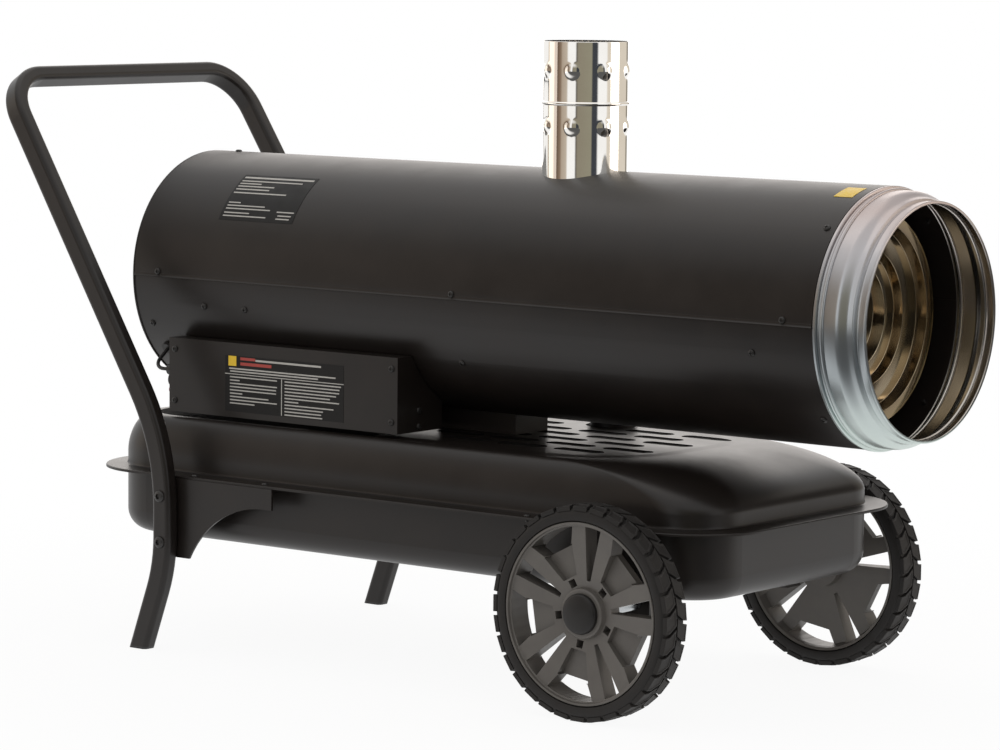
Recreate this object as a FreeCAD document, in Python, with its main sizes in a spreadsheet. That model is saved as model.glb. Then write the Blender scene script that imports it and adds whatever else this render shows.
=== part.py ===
"""Indirect-fired diesel space heater: a barrel on a fuel tank, with two wheels and a push handle.

Frame: X runs along the barrel towards the outlet, -Y is the control box side, Z is up from the floor.
All sizes are millimetres and degrees.
"""
import FreeCAD, Part
import math
import os
import types

import Sketcher

Vector = FreeCAD.Vector
Rotation = FreeCAD.Rotation

SIZES = {
    # Gaps: nested sheet, moving pieces, shafts in bores
    "seat_gap": 0.1,
    "move_gap": 0.3,
    "run_gap": 0.06,
    "press_gap": 0.02,
    # Barrel of two half shells, the lower one tucked inside the upper one at the seam
    "barrel_radius": 152.4,
    "barrel_length": 1034.0,
    "barrel_rear": -456.5,
    "barrel_lift": 21.6,
    "shell_sheet": 1.2,
    "seam_lip": 12.0,
    # Pan-head screws
    "screw_radius": 2.2,
    "screw_length": 7.0,
    "head_radius": 4.2,
    "head_height": 2.4,
    "seam_screw_angle": 2.3,
    "seam_screw_inset": 40.0,
    "end_screw_angle": 45.5,
    "end_screw_inset": 12.0,
    "body_screw_angle": -13.0,
    "body_screw_inset": 84.0,
    "hanger_screw_inset": 115.0,
    "hanger_screw_pitch": 68.0,
    "rear_screw_angle": -24.0,
    "rear_screw_inset": 18.5,
    "middle_screw_angle": -31.0,
    "top_screw_angle": 90.0,
    # Outlet collar of galvanised sheet
    "collar_sheet": 1.2,
    "collar_sleeve": 24.0,
    "collar_ring": 5.0,
    "collar_step": 4.4,
    "collar_body": 29.0,
    "collar_neck": 18.0,
    "spigot_step": 11.0,
    "spigot_length": 14.5,
    "collar_bead": 10.0,
    "bead_radius": 2.5,
    # Flue stub
    "flue_inset": 227.0,
    "flue_radius": 51.0,
    "flue_sheet": 1.0,
    "flue_rise": 154.6,
    "flue_bead_drop": 74.0,
    # Heat exchanger and combustion chamber
    "drum_radius": 123.0,
    "drum_sheet": 1.5,
    "drum_inset": 14.5,
    "outer_step_radius": 108.0,
    "outer_step_depth": 14.0,
    "inner_step_radius": 78.0,
    "inner_step_depth": 26.0,
    "centre_radius": 58.0,
    "centre_depth": 41.0,
    "chamber_radius": 70.0,
    "chamber_gap": 126.0,
    "support_length": 30.0,
    "support_width": 40.0,
    "support_inset": 60.0,
    # Burner head
    "burner_radius": 44.0,
    "burner_sheet": 1.5,
    "burner_gap": 29.0,
    "burner_stand": 100.0,
    "burner_reach": 30.0,
    "burner_flange_radius": 62.0,
    "burner_flange_sheet": 3.0,
    "diffuser_reach": 15.0,
    "diffuser_bore": 13.0,
    "nozzle_radius": 9.0,
    "nozzle_inset": 8.0,
    "nozzle_setback": 7.0,
    "nozzle_bar_width": 8.0,
    "nozzle_bar_sheet": 4.0,
    "electrode_radius": 4.0,
    "electrode_length": 84.0,
    "electrode_angle": 32.0,
    "sensor_radius": 6.0,
    "sensor_length": 26.0,
    "sensor_inset": 40.0,
    # Motor, shaft, fan, coupling and fuel pump in line on the barrel axis
    "motor_radius": 52.0,
    "motor_length": 110.0,
    "motor_inset": 90.0,
    "motor_bell_radius": 42.0,
    "motor_bell_length": 12.0,
    "terminal_size": 26.0,
    "terminal_length": 44.0,
    "shaft_radius": 6.0,
    "fan_gap": 15.0,
    "fan_hub_radius": 26.0,
    "fan_hub_length": 35.0,
    "fan_hub_gap": 8.0,
    "blade_chord": 62.0,
    "blade_sheet": 2.0,
    "blade_pitch": 32.0,
    "blade_count": 5,
    "coupling_radius": 14.0,
    "coupling_length": 20.0,
    "coupling_gap": 1.2,
    "adapter_radius": 34.0,
    "adapter_sheet": 3.0,
    "adapter_length": 28.0,
    "pump_radius": 34.0,
    "pump_length": 45.0,
    "pump_bore_depth": 14.0,
    "coil_radius": 11.0,
    "coil_reach": 80.0,
    "coil_inset": 12.0,
    "pedestal_length": 50.0,
    "pedestal_width": 60.0,
    # Fuel filter and pipes
    "pipe_radius": 3.0,
    "pipe_bend": 16.0,
    "pipe_clearance": 10.0,
    "filter_radius": 16.0,
    "filter_length": 48.0,
    "filter_gap": 32.0,
    # Rear guard
    "guard_wire": 2.0,
    "guard_ring_count": 5,
    "guard_inner_radius": 46.0,
    "guard_hub_radius": 22.0,
    "guard_spoke": 1.6,
    "guard_spoke_count": 8,
    # Fuel tank of two pressed shells joined at a flange
    "tank_overhang": 18.5,
    "tank_length": 938.0,
    "tank_half_width": 188.0,
    "tank_corner": 72.0,
    "tank_sheet": 1.5,
    "pan_depth": 82.5,
    "pan_fillet": 28.0,
    "flange_width": 28.0,
    "band_height": 18.5,
    "slope_height": 49.0,
    "slope_length": 139.5,
    "deck_front_corner": 120.0,
    "deck_side_inset": 24.0,
    "deck_rear_inset": 22.0,
    "deck_rear_corner": 60.0,
    "flange_screw_offset": 17.0,
    "flange_screw_inset": 243.0,
    # Slotted heat shield on the deck and the two barrel saddles
    "shield_inset": 5.5,
    "shield_length": 382.0,
    "shield_half_width": 158.0,
    "shield_rear_corner": 8.0,
    "shield_sheet": 1.2,
    "slot_inset": 193.5,
    "slot_length": 70.0,
    "slot_width": 16.0,
    "slot_pitch_x": 85.0,
    "slot_pitch_y": 40.0,
    "slot_columns": 4,
    "slot_rows": 6,
    "front_saddle_length": 121.0,
    "rear_saddle_length": 60.0,
    "saddle_half_width": 32.0,
    "saddle_sheet": 2.0,
    "front_saddle_inset": 318.0,
    "rear_saddle_inset": 230.5,
    # Filler neck and cap on the far side of the deck
    "filler_inset": 567.5,
    "filler_edge": 34.0,
    "filler_radius": 28.0,
    "filler_sheet": 2.0,
    "filler_height": 22.0,
    "cap_sheet": 3.0,
    "cap_skirt": 16.0,
    "cap_bar_width": 9.0,
    "cap_bar_height": 8.0,
    # Push handle of rounded rectangular tube, with its brackets
    "leg_gap": 2.0,
    "tube_depth": 28.0,
    "tube_width": 20.0,
    "tube_corner": 6.0,
    "tube_wall": 1.5,
    "leg_inset": 142.0,
    "lower_corner_z": 109.0,
    "upper_corner_z": 259.0,
    "foot_lean": 20.0,
    "handle_lean": 33.0,
    "handle_taper": 10.0,
    "lower_bend": 200.0,
    "upper_bend": 265.0,
    "top_bend": 60.0,
    "handle_top": 706.0,
    "foot_cap": 3.0,
    "bolt_radius": 4.0,
    "bolt_head_radius": 7.0,
    "bolt_head_height": 4.0,
    "bolt_nut_radius": 7.5,
    "bolt_nut_height": 6.5,
    "upper_bolt_drop": 21.5,
    "bolt_pitch": 57.5,
    "bracket_sheet": 3.0,
    "bracket_gap": 0.4,
    "bracket_overhang": 14.5,
    "bracket_length": 181.5,
    "bracket_height": 99.0,
    "bracket_end_depth": 26.0,
    "bracket_end_length": 15.0,
    "bracket_arc": 137.0,
    "bracket_tab": 26.0,
    "bracket_screw_inset": 44.0,
    "bracket_screw_pitch": 116.0,
    # Axle and wheels
    "axle_inset": 122.0,
    "axle_drop": 11.0,
    "axle_radius": 8.0,
    "axle_short": 1.1,
    "axle_bracket_inset": 48.0,
    "axle_bracket_length": 40.0,
    "axle_bracket_width": 30.0,
    "axle_bracket_below": 14.0,
    "washer_radius": 14.0,
    "washer_sheet": 2.0,
    "wheel_radius": 125.0,
    "wheel_gap": 8.6,
    "wheel_width": 40.0,
    "tyre_height": 19.0,
    "rim_thickness": 4.5,
    "hub_radius": 26.0,
    "hub_inset": 2.0,
    "hub_length": 32.0,
    "hub_recess_radius": 18.0,
    "hub_recess_depth": 10.0,
    "web_inset": 14.0,
    "web_thickness": 8.0,
    "tyre_shoulder": 6.0,
    "tyre_bulge": 1.5,
    "window_hub_gap": 43.0,
    "window_rim_gap": 5.5,
    "window_inner_width": 36.0,
    "window_outer_width": 62.0,
    "slit_hub_gap": 20.0,
    "slit_rim_gap": 1.5,
    "slit_inner_width": 10.0,
    "slit_outer_width": 23.0,
    "spoke_pairs": 5,
    "wheel_turn": 81.0,
    "hub_cap_radius": 22.3,
    "hub_cap_top_radius": 15.0,
    "hub_cap_height": 8.5,
    # Control box under the near side of the barrel
    "box_inset": 67.5,
    "box_length": 374.0,
    "box_proud": 7.6,
    "box_depth": 85.0,
    "box_lift": 6.0,
    "box_height": 93.0,
    "box_sheet": 1.2,
    "box_lip": 22.0,
    "cover_screw_inset": 9.5,
    "cover_screw_drop": 14.0,
    "front_screw_inset": 41.0,
    "front_screw_rise": 6.0,
    "front_screw_pitch": 20.0,
    "unit_gap": 2.4,
    "transformer_length": 96.0,
    "transformer_width": 52.0,
    "transformer_height": 44.0,
    "transformer_inset": 40.0,
    "controller_length": 84.0,
    "controller_width": 46.0,
    "controller_height": 34.0,
    "controller_inset": 190.0,
    # Controls on the rear end of the box
    "rocker_inset": 18.0,
    "rocker_drop": 19.0,
    "rocker_radius": 10.0,
    "rocker_width": 14.0,
    "rocker_depth": 3.5,
    "rocker_tilt": 12.0,
    "knob_inset": 60.0,
    "knob_rise": 19.0,
    "knob_radius": 13.0,
    "knob_length": 13.0,
    "knob_shaft_radius": 3.0,
    "knob_mark": 2.0,
    "button_inset": 9.5,
    "button_rise": 26.0,
    "button_radius": 5.0,
    "button_reach": 5.0,
    "button_length": 13.0,
    # Cables from the box to the motor and to the pump's valve
    "cable_radius": 2.3,
    "cable_stand": 37.6,
    "inside_reach": 3.6,
    "motor_cable_angle": -38.0,
    "valve_cable_angle": -48.0,
    "gland_radius": 7.0,
    "gland_length": 9.0,
    "inlet_inset": 22.0,
    "inlet_rise": 11.0,
    "inlet_bore": 4.0,
    "grommet_radius": 6.5,
    "grommet_lip": 2.0,
}

doc = FreeCAD.newDocument("diesel_heater")
sheet = doc.addObject("Spreadsheet::Sheet", "sizes")
for row, (alias, number) in enumerate(SIZES.items(), start=1):
    sheet.set(f"A{row}", alias)
    sheet.set(f"B{row}", str(number))
    sheet.setAlias(f"B{row}", alias)
doc.recompute()

subparts = []


class Size:
    """A size that carries its sheet formula and its present value."""

    def __init__(self, formula, value):
        self.formula = formula
        self.value = value

    @staticmethod
    def of(number):
        """Take a plain number as a size."""
        return number if isinstance(number, Size) else Size(f"({number})", number)

    def __add__(self, other):
        other = Size.of(other)
        return Size(f"({self.formula} + {other.formula})", self.value + other.value)

    def __radd__(self, other):
        return Size.of(other) + self

    def __sub__(self, other):
        other = Size.of(other)
        return Size(f"({self.formula} - {other.formula})", self.value - other.value)

    def __rsub__(self, other):
        return Size.of(other) - self

    def __mul__(self, other):
        other = Size.of(other)
        return Size(f"({self.formula} * {other.formula})", self.value * other.value)

    __rmul__ = __mul__

    def __truediv__(self, other):
        other = Size.of(other)
        return Size(f"({self.formula} / {other.formula})", self.value / other.value)

    def __neg__(self):
        return 0 - self

    def cosine(self):
        """Give the cosine of this angle."""
        return Size(f"cos({self.formula} * 1 deg)", math.cos(math.radians(self.value)))

    def sine(self):
        """Give the sine of this angle."""
        return Size(f"sin({self.formula} * 1 deg)", math.sin(math.radians(self.value)))


s = types.SimpleNamespace(**{alias: Size(f"sizes.{alias}", number) for alias, number in SIZES.items()})

# Heights that several pieces share, from the floor up
pan_bottom = s.wheel_radius + s.axle_drop
seam_height = pan_bottom + s.pan_depth
flange_bottom = seam_height - s.tank_sheet
flange_top = seam_height + s.tank_sheet
bracket_bottom = flange_bottom - s.bracket_height
upper_bolt_z = flange_bottom - s.upper_bolt_drop
lower_bolt_z = upper_bolt_z - s.bolt_pitch
band_top = seam_height + s.band_height
deck_height = band_top + s.slope_height
shield_top = deck_height + s.shield_sheet
box_bottom = deck_height + s.box_lift
box_top = box_bottom + s.box_height
axis_height = deck_height + s.barrel_lift + s.barrel_radius
filter_bottom = axis_height - s.pump_radius - s.filter_gap - s.filter_length
flue_top = axis_height + s.barrel_radius + s.flue_rise
flue_bead = flue_top - s.flue_bead_drop

# Stations along X that several pieces share
barrel_front = s.barrel_rear + s.barrel_length
motor_rear = s.barrel_rear + s.motor_inset
motor_front = motor_rear + s.motor_length
pump_front = motor_rear - s.adapter_length
pump_rear = pump_front - s.pump_length
suction_x = pump_front - s.pump_length / 2
cable_entry = pump_rear + s.coil_inset
fan_rear = motor_front + s.fan_hub_gap
fan_front = fan_rear + s.fan_hub_length
burner_rear = fan_front + s.burner_gap
drum_rear = burner_rear + s.burner_stand
drum_front = barrel_front - s.drum_inset
diffuser_x = drum_rear + s.diffuser_reach
nozzle_rear = burner_rear + s.nozzle_inset
nozzle_front = diffuser_x - s.nozzle_setback
sensor_x = burner_rear + s.sensor_inset
flue_x = drum_rear + s.flue_inset
tank_rear = s.barrel_rear - s.tank_overhang
tank_front = tank_rear + s.tank_length
deck_front = tank_front - s.slope_length
flange_screw_front = tank_front - s.flange_screw_inset
shield_rear = deck_front - s.shield_inset - s.shield_length
front_saddle_x = deck_front - s.front_saddle_inset
rear_saddle_x = tank_rear + s.rear_saddle_inset
filler_x = tank_rear + s.filler_inset
leg_x = tank_rear + s.leg_inset
bracket_rear = leg_x - s.bracket_overhang
bracket_front = bracket_rear + s.bracket_length
axle_x = tank_front - s.axle_inset
box_rear = s.barrel_rear + s.box_inset
box_front = box_rear + s.box_length
rocker_x = box_rear + s.rocker_depth

# Radii and widths that several pieces share
lower_shell_radius = s.barrel_radius - s.shell_sheet
barrel_bore = lower_shell_radius - s.shell_sheet
collar_radius = s.barrel_radius - s.collar_step
spigot_radius = collar_radius - s.spigot_step
fan_radius = barrel_bore - s.fan_gap
drum_bore = s.drum_radius - s.drum_sheet
burner_bore = s.burner_radius - s.burner_sheet
cap_radius = s.filler_radius + s.move_gap + s.cap_sheet
filler_y = s.tank_half_width - s.deck_side_inset - s.filler_edge
flange_edge = s.tank_half_width + s.flange_width
flange_screw_y = s.tank_half_width + s.flange_screw_offset
leg_inner_face = flange_edge + s.leg_gap
leg_y = leg_inner_face + s.tube_width / 2
leg_outer_face = leg_inner_face + s.tube_width
bracket_face = leg_inner_face - s.bracket_gap
axle_bracket_y = s.tank_half_width - s.axle_bracket_inset
wheel_inner_face = flange_edge + s.wheel_gap
wheel_bore = s.axle_radius + s.run_gap
hub_face = wheel_inner_face + s.hub_inset + s.hub_length
axle_end = hub_face - s.axle_short
rim_radius = s.wheel_radius - s.tyre_height
rim_bore = rim_radius - s.rim_thickness
cable_ring = s.barrel_radius + s.cable_stand
box_face = s.barrel_radius + s.box_proud
box_back = box_face - s.box_depth
box_lip_face = box_face - s.box_sheet
rocker_y = box_face - s.rocker_inset
rocker_z = box_top - s.rocker_drop
knob_y = box_face - s.knob_inset
knob_z = box_bottom + s.knob_rise
button_y = box_face - s.button_inset
button_z = box_bottom + s.button_rise

TURN_TO = {
    "X": Rotation(Vector(0, 1, 0), 90),
    "-X": Rotation(Vector(0, 1, 0), -90),
    "Y": Rotation(Vector(1, 0, 0), -90),
    "-Y": Rotation(Vector(1, 0, 0), 90),
    "Z": Rotation(),
}
# How far cutters run past what they cut, and how many steps the tank's rounded slope has
OVERSHOOT = 5.0
DECK_STEPS = 4
# How much of the shorter run a cable's bend may take, and how close to a height counts as on it
BEND_SHARE = 0.45
ON_HEIGHT = 1e-4


def bind(feature, **sizes):
    """Tie properties of a feature to the sheet."""
    for name, size in sizes.items():
        feature.setExpression(name, Size.of(size).formula)


def place(feature, x, y, z, turn=Rotation()):
    """Turn a feature and tie its position to the sheet."""
    feature.Placement = FreeCAD.Placement(Vector(), turn)
    for axis, size in zip("xyz", (x, y, z)):
        feature.setExpression(f".Placement.Base.{axis}", Size.of(size).formula)
    return feature


def block(name, length, width, height, at):
    """Make a box from its low corner."""
    feature = doc.addObject("Part::Box", name)
    bind(feature, Length=length, Width=width, Height=height)
    return place(feature, *at)


def rod(name, radius, length, at, axis="Z"):
    """Make a cylinder that starts at a point and runs along an axis."""
    feature = doc.addObject("Part::Cylinder", name)
    bind(feature, Radius=radius, Height=length)
    return place(feature, *at, TURN_TO[axis])


def cone(name, radius, end_radius, length, at, axis="Z"):
    """Make a cone that starts at a point and runs along an axis."""
    feature = doc.addObject("Part::Cone", name)
    bind(feature, Radius1=radius, Radius2=end_radius, Height=length)
    return place(feature, *at, TURN_TO[axis])


def ring(name, radius, section, at, axis="Z"):
    """Make a round ring about an axis."""
    feature = doc.addObject("Part::Torus", name)
    bind(feature, Radius1=radius, Radius2=section)
    return place(feature, *at, TURN_TO[axis])


def group(name, features):
    """Gather separate solids."""
    feature = doc.addObject("Part::Compound", name)
    feature.Links = features
    return feature


def cut(name, base, *tools):
    """Take tools away from a base."""
    feature = doc.addObject("Part::Cut", name)
    feature.Base = base
    feature.Tool = tools[0] if len(tools) == 1 else group(f"{name}_tools", list(tools))
    return feature


def fuse(name, *features):
    """Join features into one."""
    feature = doc.addObject("Part::MultiFuse", name)
    feature.Shapes = list(features)
    return feature


def common(name, *features):
    """Keep what features share."""
    feature = doc.addObject("Part::MultiCommon", name)
    feature.Shapes = list(features)
    return feature


def tube(name, radius, bore, length, at, axis="Z"):
    """Make a straight tube."""
    outside = rod(f"{name}_outside", radius, length, at, axis)
    return cut(name, outside, rod(f"{name}_bore", bore, length, at, axis))


def barrel_rod(name, radius, start, end):
    """Make a cylinder on the barrel axis between two stations."""
    return rod(name, radius, end - start, (start, 0, axis_height), "X")


def barrel_tube(name, radius, bore, start, end):
    """Make a tube on the barrel axis between two stations."""
    return tube(name, radius, bore, end - start, (start, 0, axis_height), "X")


def radial_rod(name, radius, start, length, x, angle):
    """Make a cylinder that leaves the barrel axis at an angle above the near side."""
    feature = doc.addObject("Part::Cylinder", name)
    bind(feature, Radius=radius, Height=length)
    heading = Vector(0, -angle.cosine().value, angle.sine().value)
    turn = Rotation(Vector(0, 0, 1), heading)
    return place(feature, x, -(start * angle.cosine()), axis_height + start * angle.sine(), turn)


def publish(node, feature):
    """Name a finished piece."""
    feature.Label = node
    subparts.append(feature)
    return feature


def shape_piece(node, shape):
    """Keep a shape worked out from the sheet as a piece."""
    feature = doc.addObject("Part::Feature", node)
    feature.Shape = shape
    return publish(node, feature)


def origin_part(body, role):
    """Find a plane or axis of a body's own origin."""
    return next(item for item in body.Origin.OriginFeatures if item.Role == role)


def sketch_on(body, name, role, height=None):
    """Attach a sketch to a plane of its body, raised by a height."""
    sketch = body.newObject("Sketcher::SketchObject", name)
    sketch.AttachmentSupport = [(origin_part(body, role), "")]
    sketch.MapMode = "FlatFace"
    if height is not None:
        sketch.setExpression(".AttachmentOffset.Base.z", height.formula)
    return sketch


def pin(sketch, kind, index, end, size):
    """Tie one coordinate of a sketch point to the sheet."""
    number = sketch.addConstraint(Sketcher.Constraint(kind, -1, 1, index, end, size.value))
    sketch.setExpression(f"Constraints[{number}]", size.formula)


def polygon(sketch, points):
    """Draw a closed outline with straight sides."""
    corners = [(Size.of(x), Size.of(y)) for x, y in points]
    for index, corner in enumerate(corners):
        following = corners[(index + 1) % len(corners)]
        ends = [Vector(x.value, y.value, 0) for x, y in (corner, following)]
        sketch.addGeometry(Part.LineSegment(*ends), False)
    for index, (x, y) in enumerate(corners):
        sketch.addConstraint(Sketcher.Constraint("Coincident", index, 2, (index + 1) % len(corners), 1))
        pin(sketch, "DistanceX", index, 1, x)
        pin(sketch, "DistanceY", index, 1, y)


def rounded_outline(sketch, rear, front, half_width, rear_corner, front_corner):
    """Draw a rectangle along X with rounded corners, those at the rear alike and those in front alike."""
    first = sketch.GeometryCount
    corners = (
        (front, -1, front_corner, -90),
        (front, 1, front_corner, 0),
        (rear, 1, rear_corner, 90),
        (rear, -1, rear_corner, 180),
    )
    arcs = []
    for x, side, corner, start in corners:
        inward = -1 if x is front else 1
        centre = Vector(x.value + inward * corner.value, side * (half_width.value - corner.value), 0)
        circle = Part.Circle(centre, Vector(0, 0, 1), corner.value)
        arcs.append(Part.ArcOfCircle(circle, math.radians(start), math.radians(start + 90)))
    for arc, following in zip(arcs, arcs[1:] + arcs[:1]):
        sketch.addGeometry(arc, False)
        sketch.addGeometry(Part.LineSegment(arc.EndPoint, following.StartPoint), False)
    sides = 2 * len(arcs)
    for step in range(sides):
        joint = (first + step, 2, first + (step + 1) % sides, 1)
        sketch.addConstraint(Sketcher.Constraint("Tangent", *joint))
    for step, kind in ((1, "Vertical"), (3, "Horizontal"), (5, "Vertical"), (7, "Horizontal")):
        sketch.addConstraint(Sketcher.Constraint(kind, first + step))
    for step, size in ((0, front_corner), (4, rear_corner)):
        number = sketch.addConstraint(Sketcher.Constraint("Radius", first + step, size.value))
        sketch.setExpression(f"Constraints[{number}]", size.formula)
        sketch.addConstraint(Sketcher.Constraint("Equal", first + step, first + step + 2))
    pin(sketch, "DistanceX", first + 1, 1, front)
    pin(sketch, "DistanceY", first + 3, 1, half_width)
    pin(sketch, "DistanceX", first + 5, 1, rear)
    pin(sketch, "DistanceY", first + 7, 1, -half_width)


def turned(name, outline, at, turn):
    """Turn an outline of radius and height about the body's own Z axis."""
    body = doc.addObject("PartDesign::Body", name)
    sketch = sketch_on(body, f"{name}_outline", "XZ_Plane")
    polygon(sketch, outline)
    revolution = body.newObject("PartDesign::Revolution", f"{name}_turned")
    revolution.Profile = sketch
    revolution.ReferenceAxis = (sketch, ["V_Axis"])
    revolution.Angle = 360
    place(body, *at, turn)
    return body


def pad(body, name, sketch, length):
    """Raise a sketch by a length."""
    feature = body.newObject("PartDesign::Pad", name)
    feature.Profile = sketch
    bind(feature, Length=length)
    return feature


def round_edges(body, name, base, height, radius):
    """Round the edges of a feature that lie flat at a height."""
    doc.recompute()
    names = []
    for number, edge in enumerate(base.Shape.Edges, start=1):
        if all(abs(vertex.Z - height.value) < ON_HEIGHT for vertex in edge.Vertexes):
            names.append(f"Edge{number}")
    feature = body.newObject("PartDesign::Fillet", name)
    feature.Base = (base, names)
    bind(feature, Radius=radius)
    return feature


def carried(face, points, radii):
    """Carry a section along straight runs joined by tangent arcs and join the stretches."""
    runs = [end - start for start, end in zip(points, points[1:])]
    stretches = []
    trimmed = 0.0
    for index, run in enumerate(runs):
        heading = Vector(run).normalize()
        bends = index < len(radii)
        turn = run.getAngle(runs[index + 1]) if bends else 0.0
        tangent = radii[index] * math.tan(turn / 2) if bends else 0.0
        step = heading * (run.Length - trimmed - tangent)
        stretches.append(face.extrude(step))
        face = face.translated(step)
        if bends:
            axis = run.cross(runs[index + 1]).normalize()
            centre = points[index + 1] - heading * tangent + axis.cross(heading) * radii[index]
            stretches.append(face.revolve(centre, axis, math.degrees(turn)))
            face = face.copy()
            face.rotate(centre, axis, math.degrees(turn))
        trimmed = tangent
    return stretches[0].multiFuse(stretches[1:])


def easy_radii(points):
    """Give each corner of a cable the largest bend that its two runs allow."""
    radii = []
    for before, corner, after in zip(points, points[1:], points[2:]):
        turn = (corner - before).getAngle(after - corner)
        shorter = min((corner - before).Length, (after - corner).Length)
        radii.append(BEND_SHARE * shorter / math.tan(turn / 2))
    return radii


def round_run(radius, points, radii):
    """Make a round cable or pipe along a route and print its bends and volume."""
    section = Part.Face(Part.Wire(Part.makeCircle(radius, points[0], points[1] - points[0])))
    solid = carried(section, points, radii)
    length = sum((end - start).Length for start, end in zip(points, points[1:]))
    for before, corner, after, bend in zip(points, points[1:], points[2:], radii):
        turn = (corner - before).getAngle(after - corner)
        length += bend * (turn - 2 * math.tan(turn / 2))
    print("bends", [round(bend, 1) for bend in radii], "volume ratio", solid.Volume / (section.Area * length))
    return solid


def barrel_screw_places():
    """List the station and the angle of every screw in the barrel shells."""
    seam_x = (
        s.barrel_rear + s.seam_screw_inset,
        s.barrel_rear + s.barrel_length / 2,
        barrel_front - s.seam_screw_inset,
    )
    places = [(x, s.seam_screw_angle) for x in seam_x]
    places += [(barrel_front - s.end_screw_inset, angle) for angle in (s.end_screw_angle, -s.end_screw_angle)]
    hanger = s.barrel_rear + s.hanger_screw_inset
    body_x = (hanger, hanger + s.hanger_screw_pitch, barrel_front - s.body_screw_inset)
    places += [(x, s.body_screw_angle) for x in body_x]
    places += [(s.barrel_rear + s.rear_screw_inset, s.rear_screw_angle)]
    places += [(s.barrel_rear + s.barrel_length / 2, s.middle_screw_angle)]
    mirrored = [(x, 180 - angle) for x, angle in places]
    return places + mirrored + [(seam_x[0], s.top_screw_angle)]


def shell_hole(name, radius, x, angle):
    """Make a cutter through the barrel's wall."""
    return radial_rod(name, radius, barrel_bore - OVERSHOOT, OVERSHOOT * 3, x, angle)


def barrel_screw_holes(name):
    """Make one cutter at every barrel screw."""
    radius = s.screw_radius + s.seat_gap
    places = enumerate(barrel_screw_places(), start=1)
    return [shell_hole(f"{name}_{number}", radius, x, angle) for number, (x, angle) in places]


def build_barrel():
    """Make the two half shells with their screws."""
    whole = barrel_bore * 2 + OVERSHOOT
    holes = barrel_screw_holes("screw_hole")
    flue_hole = rod(
        "flue_hole", s.flue_radius + s.seat_gap, s.barrel_radius * 2, (flue_x, 0, axis_height), "Z"
    )
    upper = barrel_tube("upper_tube", s.barrel_radius, lower_shell_radius, s.barrel_rear, barrel_front)
    under = block(
        "under_axis", s.barrel_length, whole, whole, (s.barrel_rear, -whole / 2, axis_height - whole)
    )
    publish("barrel_upper_shell", cut("barrel_upper_shell", upper, under, flue_hole, *holes))

    seated = lower_shell_radius - s.seat_gap
    lower = barrel_tube("lower_tube", seated, barrel_bore, s.barrel_rear, barrel_front)
    above = block(
        "above_lip", s.barrel_length, whole, whole, (s.barrel_rear, -whole / 2, axis_height + s.seam_lip)
    )
    lower_holes = barrel_screw_holes("lower_hole")
    grommet_holes = [
        shell_hole(f"grommet_hole_{number}", s.grommet_radius, cable_entry, angle)
        for number, angle in enumerate((s.motor_cable_angle, s.valve_cable_angle), start=1)
    ]
    pipe_hole = rod(
        "pipe_hole", s.pipe_radius + s.seat_gap, s.barrel_radius, (suction_x, 0, deck_height), "Z"
    )
    publish(
        "barrel_lower_shell", cut("barrel_lower_shell", lower, above, pipe_hole, *lower_holes, *grommet_holes)
    )

    screws = []
    for number, (x, angle) in enumerate(barrel_screw_places(), start=1):
        on_upper = angle.sine().value > 0
        surface = (s.barrel_radius if on_upper else seated) + s.seat_gap
        head = radial_rod(f"barrel_head_{number}", s.head_radius, surface, s.head_height, x, angle)
        shank = radial_rod(
            f"barrel_shank_{number}", s.screw_radius, surface - s.screw_length, s.screw_length, x, angle
        )
        screws.append(fuse(f"barrel_screw_{number}", head, shank))
    publish("barrel_screws", group("barrel_screws", screws))


def build_outlet_collar():
    """Make the galvanised collar that the warm-air duct slips over."""
    sleeve = barrel_bore - s.seat_gap
    neck_end = s.collar_body + s.collar_neck
    collar_end = neck_end + s.spigot_length
    outline = [
        (sleeve - s.collar_sheet, -s.collar_sleeve),
        (sleeve, -s.collar_sleeve),
        (sleeve, s.seat_gap),
        (s.barrel_radius, s.seat_gap),
        (s.barrel_radius, s.collar_ring),
        (collar_radius, s.collar_ring),
        (collar_radius, s.collar_body),
        (spigot_radius, neck_end),
        (spigot_radius, collar_end),
        (spigot_radius - s.collar_sheet, collar_end),
        (spigot_radius - s.collar_sheet, neck_end),
        (collar_radius - s.collar_sheet, s.collar_body),
        (collar_radius - s.collar_sheet, s.collar_ring),
        (sleeve - s.collar_sheet, s.seat_gap),
    ]
    wall = turned("collar_wall", outline, (barrel_front, 0, axis_height), TURN_TO["X"])
    bead = ring(
        "collar_bead", collar_radius, s.bead_radius, (barrel_front + s.collar_bead, 0, axis_height), "X"
    )
    holes = barrel_screw_holes("collar_hole")
    publish("outlet_collar", cut("outlet_collar", fuse("collar_beaded", wall, bead), *holes))


def build_flue():
    """Make the flue stub that stands on the exchanger and leaves through the upper shell."""
    stub = tube(
        "flue_tube",
        s.flue_radius,
        s.flue_radius - s.flue_sheet,
        flue_top - axis_height,
        (flue_x, 0, axis_height),
    )
    bead = ring("flue_bead_ring", s.flue_radius, s.flue_sheet, (flue_x, 0, flue_bead))
    drum = barrel_rod("flue_saddle", s.drum_radius + s.seat_gap, drum_rear, drum_front)
    publish("flue_stub", cut("flue_stub", fuse("flue_beaded", stub, bead), drum))


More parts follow.
